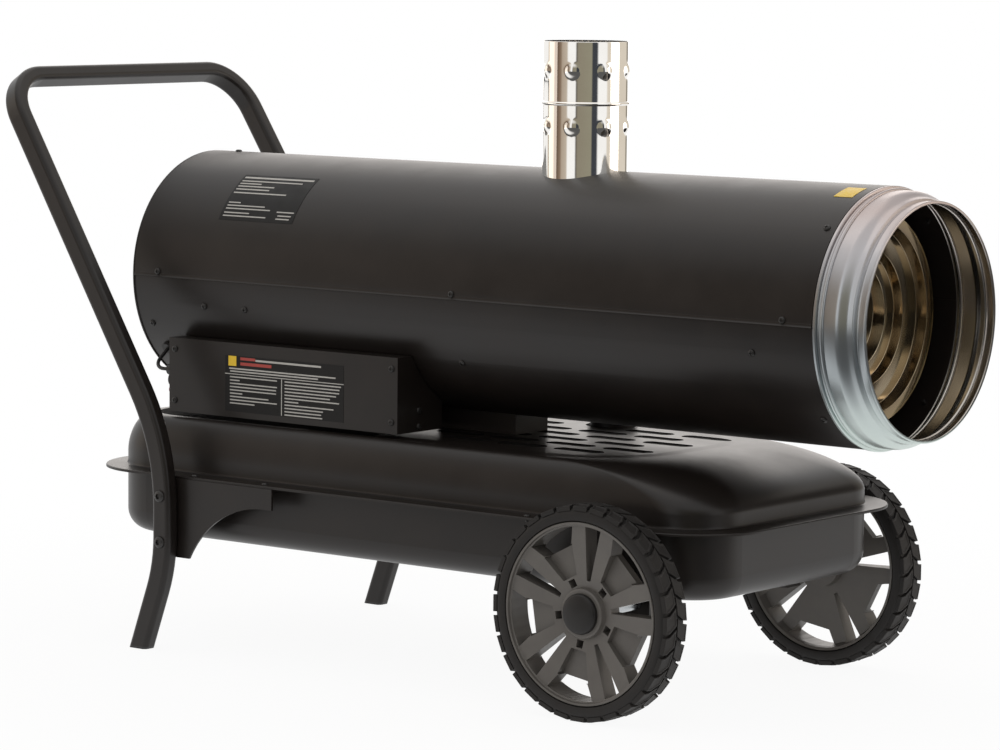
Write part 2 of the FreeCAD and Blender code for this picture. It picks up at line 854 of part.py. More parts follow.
def build_exchanger():
    """Make the drum, its end plates, its feet and the combustion chamber inside it."""
    drum = barrel_tube("drum_tube", s.drum_radius, drum_bore, drum_rear, drum_front)
    outlet = rod(
        "drum_outlet", s.flue_radius - s.flue_sheet, s.barrel_radius, (flue_x, 0, axis_height), "Z"
    )
    publish("exchanger_drum", cut("exchanger_drum", drum, outlet))

    rim = drum_bore - s.seat_gap
    sheet_size = s.drum_sheet
    steps = (
        (s.outer_step_radius, s.outer_step_depth),
        (s.inner_step_radius, s.inner_step_depth),
        (s.centre_radius, s.centre_depth),
    )
    front_side = [(rim, 0)]
    back_side = [(rim, -sheet_size)]
    last_depth = Size.of(0)
    for radius, depth in steps:
        front_side += [(radius, -last_depth), (radius, -depth)]
        back_radius = radius + sheet_size
        back_side += [(back_radius, -last_depth - sheet_size), (back_radius, -depth - sheet_size)]
        last_depth = depth
    outline = front_side + [(0, -last_depth), (0, -last_depth - sheet_size)] + back_side[::-1]
    publish(
        "exchanger_front_plate",
        turned("exchanger_front_plate", outline, (drum_front, 0, axis_height), TURN_TO["X"]),
    )

    plate_front = drum_rear + sheet_size
    publish(
        "exchanger_rear_plate",
        barrel_tube("exchanger_rear_plate", rim, s.burner_radius + s.seat_gap, drum_rear, plate_front),
    )
    publish(
        "combustion_chamber",
        barrel_tube(
            "combustion_chamber",
            s.chamber_radius,
            s.chamber_radius - sheet_size,
            plate_front,
            drum_front - s.chamber_gap,
        ),
    )

    feet = []
    places = (drum_rear + s.support_inset, drum_front - s.support_inset)
    for number, x in enumerate(places, start=1):
        upright = block(
            f"foot_block_{number}",
            s.support_length,
            s.support_width,
            s.barrel_radius,
            (x - s.support_length / 2, -s.support_width / 2, axis_height - s.barrel_radius),
        )
        start = x - s.support_length
        end = x + s.support_length
        inside = barrel_rod(f"foot_inside_{number}", barrel_bore - s.seat_gap, start, end)
        drum_side = barrel_rod(f"foot_drum_{number}", s.drum_radius + s.seat_gap, start, end)
        feet.append(cut(f"foot_{number}", common(f"foot_common_{number}", upright, inside), drum_side))
    publish("exchanger_supports", group("exchanger_supports", feet))


def build_burner():
    """Make the burner tube with its diffuser, nozzle, electrodes and flame sensor."""
    tube_end = drum_rear + s.burner_reach
    barrel = barrel_tube("burner_barrel", s.burner_radius, burner_bore, burner_rear, tube_end)
    flange = barrel_tube(
        "burner_flange", s.burner_flange_radius, burner_bore, drum_rear - s.burner_flange_sheet, drum_rear
    )
    publish("burner_tube", fuse("burner_tube", barrel, flange))
    publish(
        "diffuser_disc",
        barrel_tube(
            "diffuser_disc",
            burner_bore - s.seat_gap,
            s.diffuser_bore,
            diffuser_x,
            diffuser_x + s.burner_sheet,
        ),
    )

    holder = barrel_rod("nozzle_rod", s.nozzle_radius, nozzle_rear, nozzle_front)
    tip = cone(
        "nozzle_tip",
        s.nozzle_radius,
        s.nozzle_radius / 3,
        s.nozzle_radius,
        (nozzle_front, 0, axis_height),
        "X",
    )
    span = burner_bore - s.seat_gap
    bar = block(
        "nozzle_bar",
        s.nozzle_bar_sheet,
        span * 2,
        s.nozzle_bar_width,
        (nozzle_rear + s.nozzle_radius, -span, axis_height - s.nozzle_bar_width / 2),
    )
    bore = barrel_rod("nozzle_bar_bore", span, burner_rear, tube_end)
    publish("nozzle_holder", fuse("nozzle_holder", holder, tip, common("nozzle_bar_trim", bar, bore)))

    away = s.nozzle_radius + s.electrode_radius + s.seat_gap
    rise = away * s.electrode_angle.cosine()
    electrodes = []
    for number, side in enumerate((-1, 1), start=1):
        y = away * s.electrode_angle.sine() * side
        at = (nozzle_front - s.electrode_length, y, axis_height + rise)
        electrodes.append(rod(f"electrode_{number}", s.electrode_radius, s.electrode_length, at, "X"))
    publish("ignition_electrodes", group("ignition_electrodes", electrodes))

    sensor = rod(
        "sensor_body", s.sensor_radius, s.burner_radius + s.sensor_length, (sensor_x, 0, axis_height), "Z"
    )
    seat = barrel_rod("sensor_seat", s.burner_radius + s.seat_gap, burner_rear, drum_rear)
    publish("flame_sensor", cut("flame_sensor", sensor, seat))


def build_drive():
    """Make the motor with its pedestal, the shaft, the fan, the coupling and the fuel pump."""
    shaft_bore = s.shaft_radius + s.run_gap
    shaft_start = pump_front - s.pump_bore_depth + s.move_gap
    bell_front = motor_front - s.motor_bell_length
    bell_rear = motor_rear + s.motor_bell_length
    frame = barrel_rod("motor_frame", s.motor_radius, bell_rear, bell_front)
    core = barrel_rod("motor_core", s.motor_bell_radius, motor_rear, motor_front)
    angle = s.motor_cable_angle
    terminal = block(
        "terminal_block",
        s.terminal_length,
        s.terminal_size,
        s.motor_radius + s.terminal_size / 2,
        (bell_rear, 0, axis_height),
    )
    heading = Vector(0, -angle.cosine().value, angle.sine().value)
    place(
        terminal,
        bell_rear,
        -(s.terminal_size / 2) * angle.sine(),
        axis_height - (s.terminal_size / 2) * angle.cosine(),
        Rotation(Vector(0, 0, 1), heading),
    )
    bore = barrel_rod("motor_bore", shaft_bore, motor_rear, motor_front)
    publish("fan_motor", cut("fan_motor", fuse("motor_whole", frame, core, terminal), bore))

    middle = motor_rear + s.motor_length / 2
    start = middle - s.pedestal_length / 2
    upright = block(
        "pedestal_block",
        s.pedestal_length,
        s.pedestal_width,
        s.barrel_radius,
        (start, -s.pedestal_width / 2, axis_height - s.barrel_radius),
    )
    inside = barrel_rod("pedestal_inside", barrel_bore - s.seat_gap, motor_rear, motor_front)
    cradle = barrel_rod("pedestal_cradle", s.motor_radius + s.seat_gap, motor_rear, motor_front)
    trimmed = common("pedestal_trimmed", upright, inside)
    publish("motor_pedestal", cut("motor_pedestal", trimmed, cradle))

    publish("motor_shaft", barrel_rod("motor_shaft", s.shaft_radius, shaft_start, fan_front))

    seated = s.shaft_radius + s.press_gap
    blades = []
    for number in range(SIZES["blade_count"]):
        blade = block("fan_blade", s.blade_chord, s.blade_sheet, fan_radius, (0, 0, 0))
        pitch = Rotation(Vector(0, 0, 1), s.blade_pitch.value)
        corner = pitch.multVec(Vector(-s.blade_chord.value / 2, -s.blade_sheet.value / 2, 0))
        spin = Rotation(Vector(1, 0, 0), 360 * number / SIZES["blade_count"])
        base = spin.multVec(corner)
        hub_middle = fan_rear + s.fan_hub_length / 2
        place(blade, hub_middle + base.x, base.y, axis_height + base.z, spin.multiply(pitch))
        blades.append(blade)
    hub = barrel_rod("fan_hub", s.fan_hub_radius, fan_rear, fan_front)
    sweep = barrel_rod("fan_sweep", fan_radius, fan_rear, fan_front)
    wheel = common("fan_wheel", fuse("fan_whole", hub, *blades), sweep)
    fan_bore = barrel_rod("fan_bore", seated, fan_rear, fan_front)
    publish("fan_impeller", cut("fan_impeller", wheel, fan_bore))

    coupling_end = motor_rear - s.coupling_gap
    coupling_start = coupling_end - s.coupling_length
    coupling = barrel_tube("shaft_coupling", s.coupling_radius, seated, coupling_start, coupling_end)
    publish("shaft_coupling", coupling)
    publish(
        "pump_adapter",
        barrel_tube(
            "pump_adapter", s.adapter_radius, s.adapter_radius - s.adapter_sheet, pump_front, motor_rear
        ),
    )

    pump_body = barrel_rod("pump_body", s.pump_radius, pump_rear, pump_front)
    coil = radial_rod("pump_coil", s.coil_radius, Size.of(0), s.coil_reach, cable_entry, s.valve_cable_angle)
    pump_bore = barrel_rod("pump_bore", shaft_bore, pump_front - s.pump_bore_depth, pump_front)
    publish("fuel_pump", cut("fuel_pump", fuse("pump_whole", pump_body, coil), pump_bore))


def build_fuel_lines():
    """Make the filter and the pipes from the tank to the pump and on to the nozzle."""
    filter_top = filter_bottom + s.filter_length
    publish(
        "fuel_filter",
        rod("fuel_filter", s.filter_radius, s.filter_length, (suction_x, 0, filter_bottom)),
    )
    low = rod(
        "suction_low", s.pipe_radius, filter_bottom - deck_height, (suction_x, 0, deck_height)
    )
    pump_side = axis_height - filter_top
    high_rod = rod("suction_high_rod", s.pipe_radius, pump_side, (suction_x, 0, filter_top))
    pump_face = barrel_rod("suction_pump_face", s.pump_radius + s.seat_gap, pump_rear, pump_front)
    publish("suction_pipe", group("suction_pipe", [low, cut("suction_high", high_rod, pump_face)]))

    axis = axis_height.value
    outlet_x = suction_x.value
    run_height = axis + lower_shell_radius.value - s.pipe_clearance.value
    drop_x = burner_rear.value - s.pipe_bend.value
    points = [
        Vector(outlet_x, 0, axis + s.pump_radius.value + s.seat_gap.value),
        Vector(outlet_x, 0, run_height),
        Vector(drop_x, 0, run_height),
        Vector(drop_x, 0, axis),
        Vector(nozzle_rear.value, 0, axis),
    ]
    bend = s.pipe_bend.value
    shape_piece("nozzle_pipe", round_run(s.pipe_radius.value, points, [bend, bend, bend]))


def build_rear_guard():
    """Make the intake guard: welded rings on spokes that leave a hub plate."""
    x = s.barrel_rear - s.guard_wire
    count = SIZES["guard_ring_count"]
    outer = s.barrel_radius - s.guard_wire
    wires = []
    for number in range(count):
        radius = s.guard_inner_radius + (outer - s.guard_inner_radius) * (number / (count - 1))
        wires.append(ring(f"guard_ring_{number}", radius, s.guard_wire, (x, 0, axis_height), "X"))
    hub_middle = s.guard_hub_radius / 2
    for number in range(SIZES["guard_spoke_count"]):
        angle = Size.of(360 * number / SIZES["guard_spoke_count"])
        reach = outer - hub_middle
        wires.append(radial_rod(f"guard_spoke_{number}", s.guard_spoke, hub_middle, reach, x, angle))
    wires.append(barrel_rod("guard_hub", s.guard_hub_radius, x - s.guard_wire, s.barrel_rear))
    publish("rear_guard", fuse("rear_guard", *wires))


def pan_block(name, inset, top):
    """Make the pan's outer or inner form, smaller by an inset."""
    body = doc.addObject("PartDesign::Body", name)
    bottom = pan_bottom + inset
    sketch = sketch_on(body, f"{name}_outline", "XY_Plane", bottom)
    corner = s.tank_corner - inset
    rounded_outline(
        sketch, tank_rear + inset, tank_front - inset, s.tank_half_width - inset, corner, corner
    )
    raised = pad(body, f"{name}_pad", sketch, top - bottom)
    round_edges(body, f"{name}_round", raised, bottom, s.pan_fillet - inset)
    return body


def between(low, high, share):
    """Go part of the way from one size to another."""
    return low + (high - low) * share


def deck_block(name, inset, bottom):
    """Make the top shell's outer or inner form: an upright band, then a rounded slope up to a flat deck."""
    body = doc.addObject("PartDesign::Body", name)
    corner = s.tank_corner - inset
    rear = tank_rear + inset
    front = tank_front - inset
    half_width = s.tank_half_width - inset
    foot = sketch_on(body, f"{name}_foot", "XY_Plane", bottom)
    rounded_outline(foot, rear, front, half_width, corner, corner)
    pad(body, f"{name}_band", foot, band_top - bottom)
    outlines = []
    for step in range(DECK_STEPS + 1):
        share = step / DECK_STEPS
        angle = math.radians(90 * share)
        drawn_in = (1 - math.cos(angle) + share) / 2
        risen = (math.sin(angle) + share) / 2
        height = between(band_top, deck_height - inset, risen)
        outline = sketch_on(body, f"{name}_outline_{step}", "XY_Plane", height)
        rounded_outline(
            outline,
            between(rear, rear + s.deck_rear_inset, drawn_in),
            between(front, deck_front - inset, drawn_in),
            between(half_width, half_width - s.deck_side_inset, drawn_in),
            between(corner, s.deck_rear_corner - inset, drawn_in),
            between(corner, s.deck_front_corner - inset, drawn_in),
        )
        outlines.append(outline)
    slope = body.newObject("PartDesign::AdditiveLoft", f"{name}_slope")
    slope.Profile = outlines[0]
    slope.Sections = outlines[1:]
    return body


def flange_ring(name, height):
    """Make one flat flange round the tank."""
    body = doc.addObject("PartDesign::Body", name)
    sketch = sketch_on(body, f"{name}_outline", "XY_Plane", height)
    for inset in (-s.flange_width, s.tank_sheet):
        corner = s.tank_corner - inset
        rounded_outline(
            sketch, tank_rear + inset, tank_front - inset, s.tank_half_width - inset, corner, corner
        )
    pad(body, f"{name}_pad", sketch, s.tank_sheet)
    return body


def flange_screw_places():
    """List where the screws go down through the tank flange."""
    rear = bracket_rear + s.bracket_screw_inset
    stations = (rear, rear + s.bracket_screw_pitch, flange_screw_front)
    return [(x, flange_screw_y * side) for side in (-1, 1) for x in stations]


def flange_screw_rods(name, radius, bottom, length):
    """Put one upright rod at every flange screw."""
    places = enumerate(flange_screw_places(), start=1)
    return [rod(f"{name}_{number}", radius, length, (x, y, bottom)) for number, (x, y) in places]


def build_tank():
    """Make the two tank shells and the screws in their flange."""
    reach = s.screw_length * 2
    hole = s.screw_radius + s.seat_gap
    pan = cut("pan_wall", pan_block("pan_outside", Size.of(0), seam_height),
              pan_block("pan_inside", s.tank_sheet, seam_height + OVERSHOOT))
    pan_whole = fuse("pan_whole", pan, flange_ring("pan_flange", flange_bottom))
    pan_holes = flange_screw_rods("pan_hole", hole, seam_height - s.screw_length, reach)
    publish("tank_bottom_shell", cut("tank_bottom_shell", pan_whole, *pan_holes))

    deck = cut("deck_wall", deck_block("deck_outside", Size.of(0), seam_height),
               deck_block("deck_inside", s.tank_sheet, seam_height - OVERSHOOT))
    deck_whole = fuse("deck_whole", deck, flange_ring("deck_flange", seam_height))
    deck_holes = flange_screw_rods("deck_hole", hole, seam_height - s.screw_length, reach)
    filler_hole = rod(
        "filler_hole",
        s.filler_radius - s.filler_sheet,
        s.filler_height * 2,
        (filler_x, filler_y, deck_height - s.filler_height),
    )
    suction_hole = rod(
        "suction_hole", s.pipe_radius, s.filler_height, (suction_x, 0, deck_height - s.filler_height / 2)
    )
    publish("tank_top_shell", cut("tank_top_shell", deck_whole, filler_hole, suction_hole, *deck_holes))

    heads = flange_screw_rods("flange_head", s.head_radius, flange_top, s.head_height)
    shanks = flange_screw_rods("flange_shank", s.screw_radius, flange_top - s.screw_length, s.screw_length)
    screws = [fuse(f"flange_screw_{n}", *pair) for n, pair in enumerate(zip(heads, shanks), start=1)]
    publish("flange_screws", group("flange_screws", screws))


def build_heat_shield():
    """Make the slotted sheet that keeps the barrel's heat off the tank, notched round the filler."""
    plate = doc.addObject("PartDesign::Body", "shield_plate")
    outline = sketch_on(plate, "shield_outline", "XY_Plane", deck_height)
    rounded_outline(
        outline,
        shield_rear,
        deck_front - s.shield_inset,
        s.shield_half_width,
        s.shield_rear_corner,
        s.deck_front_corner - s.shield_inset,
    )
    pad(plate, "shield_pad", outline, s.shield_sheet)
    notch = rod(
        "shield_notch",
        cap_radius + s.move_gap,
        s.filler_height * 2,
        (filler_x, filler_y, deck_height - s.filler_height),
    )
    rows = SIZES["slot_rows"]
    columns = SIZES["slot_columns"]
    centre_x = deck_front - s.slot_inset
    straight = s.slot_length - s.slot_width
    low = deck_height - OVERSHOOT
    through = s.shield_sheet + OVERSHOOT * 2
    slots = []
    for row in range(rows):
        staggered = (row + 1) % 2
        y = s.slot_pitch_y * (row - (rows - 1) / 2)
        for column in range(columns - staggered):
            x = centre_x + s.slot_pitch_x * (column - (columns - 1 - staggered) / 2)
            beside_x = abs(x.value - filler_x.value) < s.slot_length.value / 2 + cap_radius.value
            beside_y = abs(y.value - filler_y.value) < s.slot_width.value / 2 + cap_radius.value
            if beside_x and beside_y:
                continue
            corner = (x - straight / 2, y - s.slot_width / 2, low)
            slots.append(block("slot", straight, s.slot_width, through, corner))
            for end in (-1, 1):
                at = (x + straight * (end / 2), y, low)
                slots.append(rod("slot_end", s.slot_width / 2, through, at))
    publish("heat_shield", cut("heat_shield", plate, notch, *slots))


def build_saddles():
    """Make the two sheet saddles that carry the barrel above the tank."""
    barrel_seat = lower_shell_radius
    for node, x, length, base in (
        ("front_saddle", front_saddle_x, s.front_saddle_length, shield_top),
        ("rear_saddle", rear_saddle_x, s.rear_saddle_length, deck_height),
    ):
        start = x - length / 2
        outside = block(
            f"{node}_outside",
            length,
            s.saddle_half_width * 2,
            axis_height - base,
            (start, -s.saddle_half_width, base),
        )
        inside = block(
            f"{node}_inside",
            length - s.saddle_sheet * 2,
            (s.saddle_half_width - s.saddle_sheet) * 2,
            axis_height - base + OVERSHOOT,
            (start + s.saddle_sheet, s.saddle_sheet - s.saddle_half_width, base - OVERSHOOT),
        )
        barrel = barrel_rod(f"{node}_barrel", barrel_seat, s.barrel_rear, barrel_front)
        roof = barrel_rod(f"{node}_roof", barrel_seat + s.saddle_sheet, s.barrel_rear, barrel_front)
        hollow = cut(f"{node}_hollow", inside, roof)
        publish(node, cut(node, outside, barrel, hollow))


def build_filler():
    """Make the filler neck and its quarter-turn cap."""
    neck_top = deck_height + s.filler_height
    publish(
        "filler_neck",
        tube(
            "filler_neck",
            s.filler_radius,
            s.filler_radius - s.filler_sheet,
            s.filler_height,
            (filler_x, filler_y, deck_height),
        ),
    )
    lid_bottom = neck_top + s.move_gap
    lid_top = lid_bottom + s.cap_sheet
    skirt_bottom = lid_bottom - s.cap_skirt
    outside = rod("cap_outside", cap_radius, lid_top - skirt_bottom, (filler_x, filler_y, skirt_bottom))
    inside = rod("cap_inside", cap_radius - s.cap_sheet, s.cap_skirt, (filler_x, filler_y, skirt_bottom))
    grip = block(
        "cap_grip",
        cap_radius * 2 - s.cap_sheet * 2,
        s.cap_bar_width,
        s.cap_bar_height + s.cap_sheet,
        (filler_x - cap_radius + s.cap_sheet, filler_y - s.cap_bar_width / 2, lid_bottom),
    )
    publish("fuel_cap", fuse("fuel_cap", cut("cap_cup", outside, inside), grip))


def rounded_wire(width, depth, corner):
    """Draw a rectangle with rounded corners about the origin."""
    arcs = []
    for right, top, start in ((1, -1, -90), (1, 1, 0), (-1, 1, 90), (-1, -1, 180)):
        centre = Vector(right * (width / 2 - corner), top * (depth / 2 - corner), 0)
        arcs.append(Part.makeCircle(corner, centre, Vector(0, 0, 1), start, start + 90))
    edges = []
    for arc, following in zip(arcs, arcs[1:] + arcs[:1]):
        end = arc.valueAt(arc.LastParameter)
        edges += [arc, Part.makeLine(end, following.valueAt(following.FirstParameter))]
    return Part.Wire(edges)


def handle_route():
    """List the corners of the handle from below the near foot to below the far one."""
    lower = s.lower_corner_z.value
    upper = s.upper_corner_z.value
    foot_slope = math.tan(math.radians(s.foot_lean.value))
    lean_slope = math.tan(math.radians(s.handle_lean.value))
    sunk = -s.tube_depth.value
    side = [
        (leg_x.value - (lower - sunk) * foot_slope, sunk),
        (leg_x.value, lower),
        (leg_x.value, upper),
        (leg_x.value - (s.handle_top.value - upper) * lean_slope, s.handle_top.value),
    ]
    widths = [leg_y.value] * (len(side) - 1) + [leg_y.value - s.handle_taper.value]
    near = [Vector(x, -y, z) for (x, z), y in zip(side, widths)]
    far = [Vector(x, y, z) for (x, z), y in zip(side, widths)]
    return near + far[::-1]


def build_handle():
    """Make the bent handle tube, its foot caps, bolts and brackets."""
    route = handle_route()
    heading = (route[1] - route[0]).normalize()
    across = Vector(0, 1, 0)
    turn = Rotation(across, heading.cross(across), heading, "ZXY")
    bends = [s.lower_bend.value, s.upper_bend.value, s.top_bend.value]
    outer = rounded_wire(s.tube_width.value, s.tube_depth.value, s.tube_corner.value)
    wall = s.tube_wall.value
    inner = rounded_wire(
        s.tube_width.value - 2 * wall, s.tube_depth.value - 2 * wall, s.tube_corner.value - wall
    )
    solid = Part.Face(outer)
    hollow = solid.cut(Part.Face(inner)).Faces[0]
    for section in (hollow, solid):
        section.Placement = FreeCAD.Placement(route[0], turn)
    long_tube = carried(hollow, route, bends + bends[::-1])

    reach = 4 * leg_y.value
    cap = s.foot_cap.value
    floor_block = Part.makeBox(reach, reach, reach, Vector(-reach / 2 + leg_x.value, -reach / 2, cap - reach))
    holes = []
    for side in (-1, 1):
        for z in (upper_bolt_z.value, lower_bolt_z.value):
            start = Vector(leg_x.value, side * (leg_inner_face.value - OVERSHOOT), z)
            radius = s.bolt_radius.value + s.seat_gap.value
            length = s.tube_width.value + 2 * OVERSHOOT
            holes.append(Part.makeCylinder(radius, length, start, Vector(0, side, 0)))
    shape_piece("handle_tube", long_tube.cut(floor_block).cut(Part.makeCompound(holes)))

    slab = Part.makeBox(reach, reach, cap, Vector(-reach / 2 + leg_x.value, -reach / 2, 0))
    caps = []
    for start, corner in ((route[0], route[1]), (route[-1], route[-2])):
        plug = solid.translated(start - route[0]).extrude(corner - start)
        caps.append(plug.common(slab))
    shape_piece("foot_caps", Part.makeCompound(caps))

    bolts = []
    for side, axis in ((-1, "-Y"), (1, "Y")):
        for z in (upper_bolt_z, lower_bolt_z):
            nut_face = bracket_face - s.bracket_sheet
            nut_start = nut_face - s.bolt_nut_height
            nut = rod("bolt_nut", s.bolt_nut_radius, s.bolt_nut_height, (leg_x, nut_start * side, z), axis)
            shank_length = leg_outer_face - nut_start
            shank = rod("bolt_shank", s.bolt_radius, shank_length, (leg_x, nut_start * side, z), axis)
            at = (leg_x, leg_outer_face * side, z)
            head = cone("bolt_head", s.bolt_head_radius, s.bolt_head_radius / 2, s.bolt_head_height, at, axis)
            bolts.append(fuse("handle_bolt", nut, shank, head))
    publish("handle_bolts", group("handle_bolts", bolts))

    for node, side in (("handle_bracket_near", -1), ("handle_bracket_far", 1)):
        build_handle_bracket(node, side)


def build_handle_bracket(node, side):
    """Make one bracket: a plate with a hollow lower edge and a tab under the tank flange."""
    plate_y = -bracket_face if side < 0 else bracket_face - s.bracket_sheet
    plate = block(
        f"{node}_plate",
        s.bracket_length,
        s.bracket_sheet,
        flange_bottom - bracket_bottom,
        (bracket_rear, plate_y, bracket_bottom),
    )
    tab_y = -bracket_face if side < 0 else bracket_face - s.bracket_tab
    tab = block(
        f"{node}_tab",
        s.bracket_length,
        s.bracket_tab,
        s.bracket_sheet,
        (bracket_rear, tab_y, flange_bottom - s.bracket_sheet),
    )
    arc_x = bracket_front - s.bracket_end_length
    end_bottom = flange_bottom - s.bracket_end_depth
    wide = leg_y * 3
    hollow = rod(
        f"{node}_hollow", s.bracket_arc, wide, (arc_x, -wide / 2, end_bottom - s.bracket_arc), "Y"
    )
    below_end = block(
        f"{node}_below_end",
        s.bracket_end_length + OVERSHOOT,
        wide,
        s.bracket_arc,
        (arc_x, -wide / 2, end_bottom - s.bracket_arc),
    )
    holes = [
        rod(f"{node}_bolt_hole", s.bolt_radius + s.seat_gap, wide, (leg_x, -wide / 2, z), "Y")
        for z in (upper_bolt_z, lower_bolt_z)
    ]
    holes += flange_screw_rods(
        f"{node}_screw_hole",
        s.screw_radius + s.seat_gap,
        flange_bottom - s.bracket_sheet - OVERSHOOT,
        s.bracket_sheet + OVERSHOOT * 2,
    )
    publish(node, cut(node, fuse(f"{node}_whole", plate, tab), hollow, below_end, *holes))


def build_axle():
    """Make the axle with its two blocks under the tank and its washers."""
    axle_z = s.wheel_radius
    at = (axle_x, -axle_end, axle_z)
    publish("axle", rod("axle", s.axle_radius, axle_end * 2, at, "Y"))
    seated = s.axle_radius + s.press_gap
    blocks = []
    washers = []
    hub_inner = wheel_inner_face + s.hub_inset
    recess = hub_face - s.hub_recess_depth
    for side, axis in ((-1, "-Y"), (1, "Y")):
        bottom = axle_z - s.axle_bracket_below
        low_corner = (
            axle_x - s.axle_bracket_length / 2,
            axle_bracket_y * side - s.axle_bracket_width / 2,
            bottom,
        )
        lug = block(
            "axle_lug", s.axle_bracket_length, s.axle_bracket_width, pan_bottom - bottom, low_corner
        )
        bore = rod("axle_lug_bore", seated, axle_end * 2, at, "Y")
        blocks.append(cut("axle_block", lug, bore))
        for start in (hub_inner - s.move_gap - s.washer_sheet, recess + s.move_gap):
            washers.append(
                tube("washer", s.washer_radius, seated, s.washer_sheet, (axle_x, start * side, axle_z), axis)
            )
    publish("axle_blocks", group("axle_blocks", blocks))
    publish("axle_washers", group("axle_washers", washers))


def windows(body, base, name, reach, halves, turn):
    """Cut one opening through a wheel's web, between two radii, and repeat it round the wheel."""
    inner, outer = reach
    inner_half, outer_half = halves
    doc.recompute()
    sketch = sketch_on(body, f"{name}_outline", "XY_Plane")
    sketch.AttachmentOffset = FreeCAD.Placement(Vector(), Rotation(Vector(0, 0, 1), turn))
    polygon(
        sketch,
        [
            (inner, -inner_half),
            (outer, -outer_half),
            (outer, outer_half),
            (inner, inner_half),
        ],
    )
    pocket = body.newObject("PartDesign::Pocket", name)
    pocket.Profile = sketch
    pocket.Type = "ThroughAll"
    pocket.Reversed = True
    doc.recompute()
    pattern = body.newObject("PartDesign::PolarPattern", f"{name}_round")
    pattern.Originals = [pocket]
    pattern.Axis = (origin_part(body, "Z_Axis"), [""])
    pattern.Angle = 360
    bind(pattern, Occurrences=s.spoke_pairs)
    body.Tip = pattern
    doc.recompute()
    if not pattern.Shape.Volume < base.Shape.Volume:
        raise ValueError(f"{name} cuts nothing")
    return pattern


def build_wheel(side_name, side):
    """Make one wheel: rim, tyre and hub cap, from the inner face outwards."""
    outward = TURN_TO["-Y"] if side < 0 else TURN_TO["Y"]
    spin = Rotation(Vector(0, 0, 1), s.wheel_turn.value * -side)
    turn = outward.multiply(spin)
    at = (axle_x, wheel_inner_face * side, s.wheel_radius)
    hub_outer = s.hub_inset + s.hub_length
    recess = hub_outer - s.hub_recess_depth
    web_outer = s.web_inset + s.web_thickness
    seat = rim_radius - s.seat_gap
    rim_start = s.tyre_bulge
    rim_end = s.wheel_width - s.tyre_bulge
    outline = [
        (wheel_bore, s.hub_inset),
        (s.hub_radius, s.hub_inset),
        (s.hub_radius, s.web_inset),
        (rim_bore, s.web_inset),
        (rim_bore, rim_start),
        (seat, rim_start),
        (seat, rim_end),
        (rim_bore, rim_end),
        (rim_bore, web_outer),
        (s.hub_radius, web_outer),
        (s.hub_radius, hub_outer),
        (s.hub_recess_radius, hub_outer),
        (s.hub_recess_radius, recess),
        (wheel_bore, recess),
    ]
    rim = turned(f"wheel_rim_{side_name}", outline, at, turn)
    doc.recompute()
    slit_reach = (s.hub_radius + s.slit_hub_gap, rim_bore - s.slit_rim_gap)
    slit_halves = (s.slit_inner_width / 2, s.slit_outer_width / 2)
    slits = windows(rim, rim.Tip, f"slit_{side_name}", slit_reach, slit_halves, 0)
    window_reach = (s.hub_radius + s.window_hub_gap, rim_bore - s.window_rim_gap)
    window_halves = (s.window_inner_width / 2, s.window_outer_width / 2)
    half_pitch = 180 / SIZES["spoke_pairs"]
    windows(rim, slits, f"window_{side_name}", window_reach, window_halves, half_pitch)
    publish(f"wheel_rim_{side_name}", rim)

    shoulder = s.wheel_radius - s.tyre_shoulder
    tread = [
        (rim_radius, rim_start),
        (shoulder, 0),
        (s.wheel_radius, s.tyre_shoulder),
        (s.wheel_radius, s.wheel_width - s.tyre_shoulder),
        (shoulder, s.wheel_width),
        (rim_radius, rim_end),
    ]
    publish(f"tyre_{side_name}", turned(f"tyre_{side_name}", tread, at, turn))

    cap_at = (axle_x, hub_face * side, s.wheel_radius)
    axis = "-Y" if side < 0 else "Y"
    cap = cone(
        f"hub_cap_{side_name}", s.hub_cap_radius, s.hub_cap_top_radius, s.hub_cap_height, cap_at, axis
    )
    publish(f"hub_cap_{side_name}", cap)


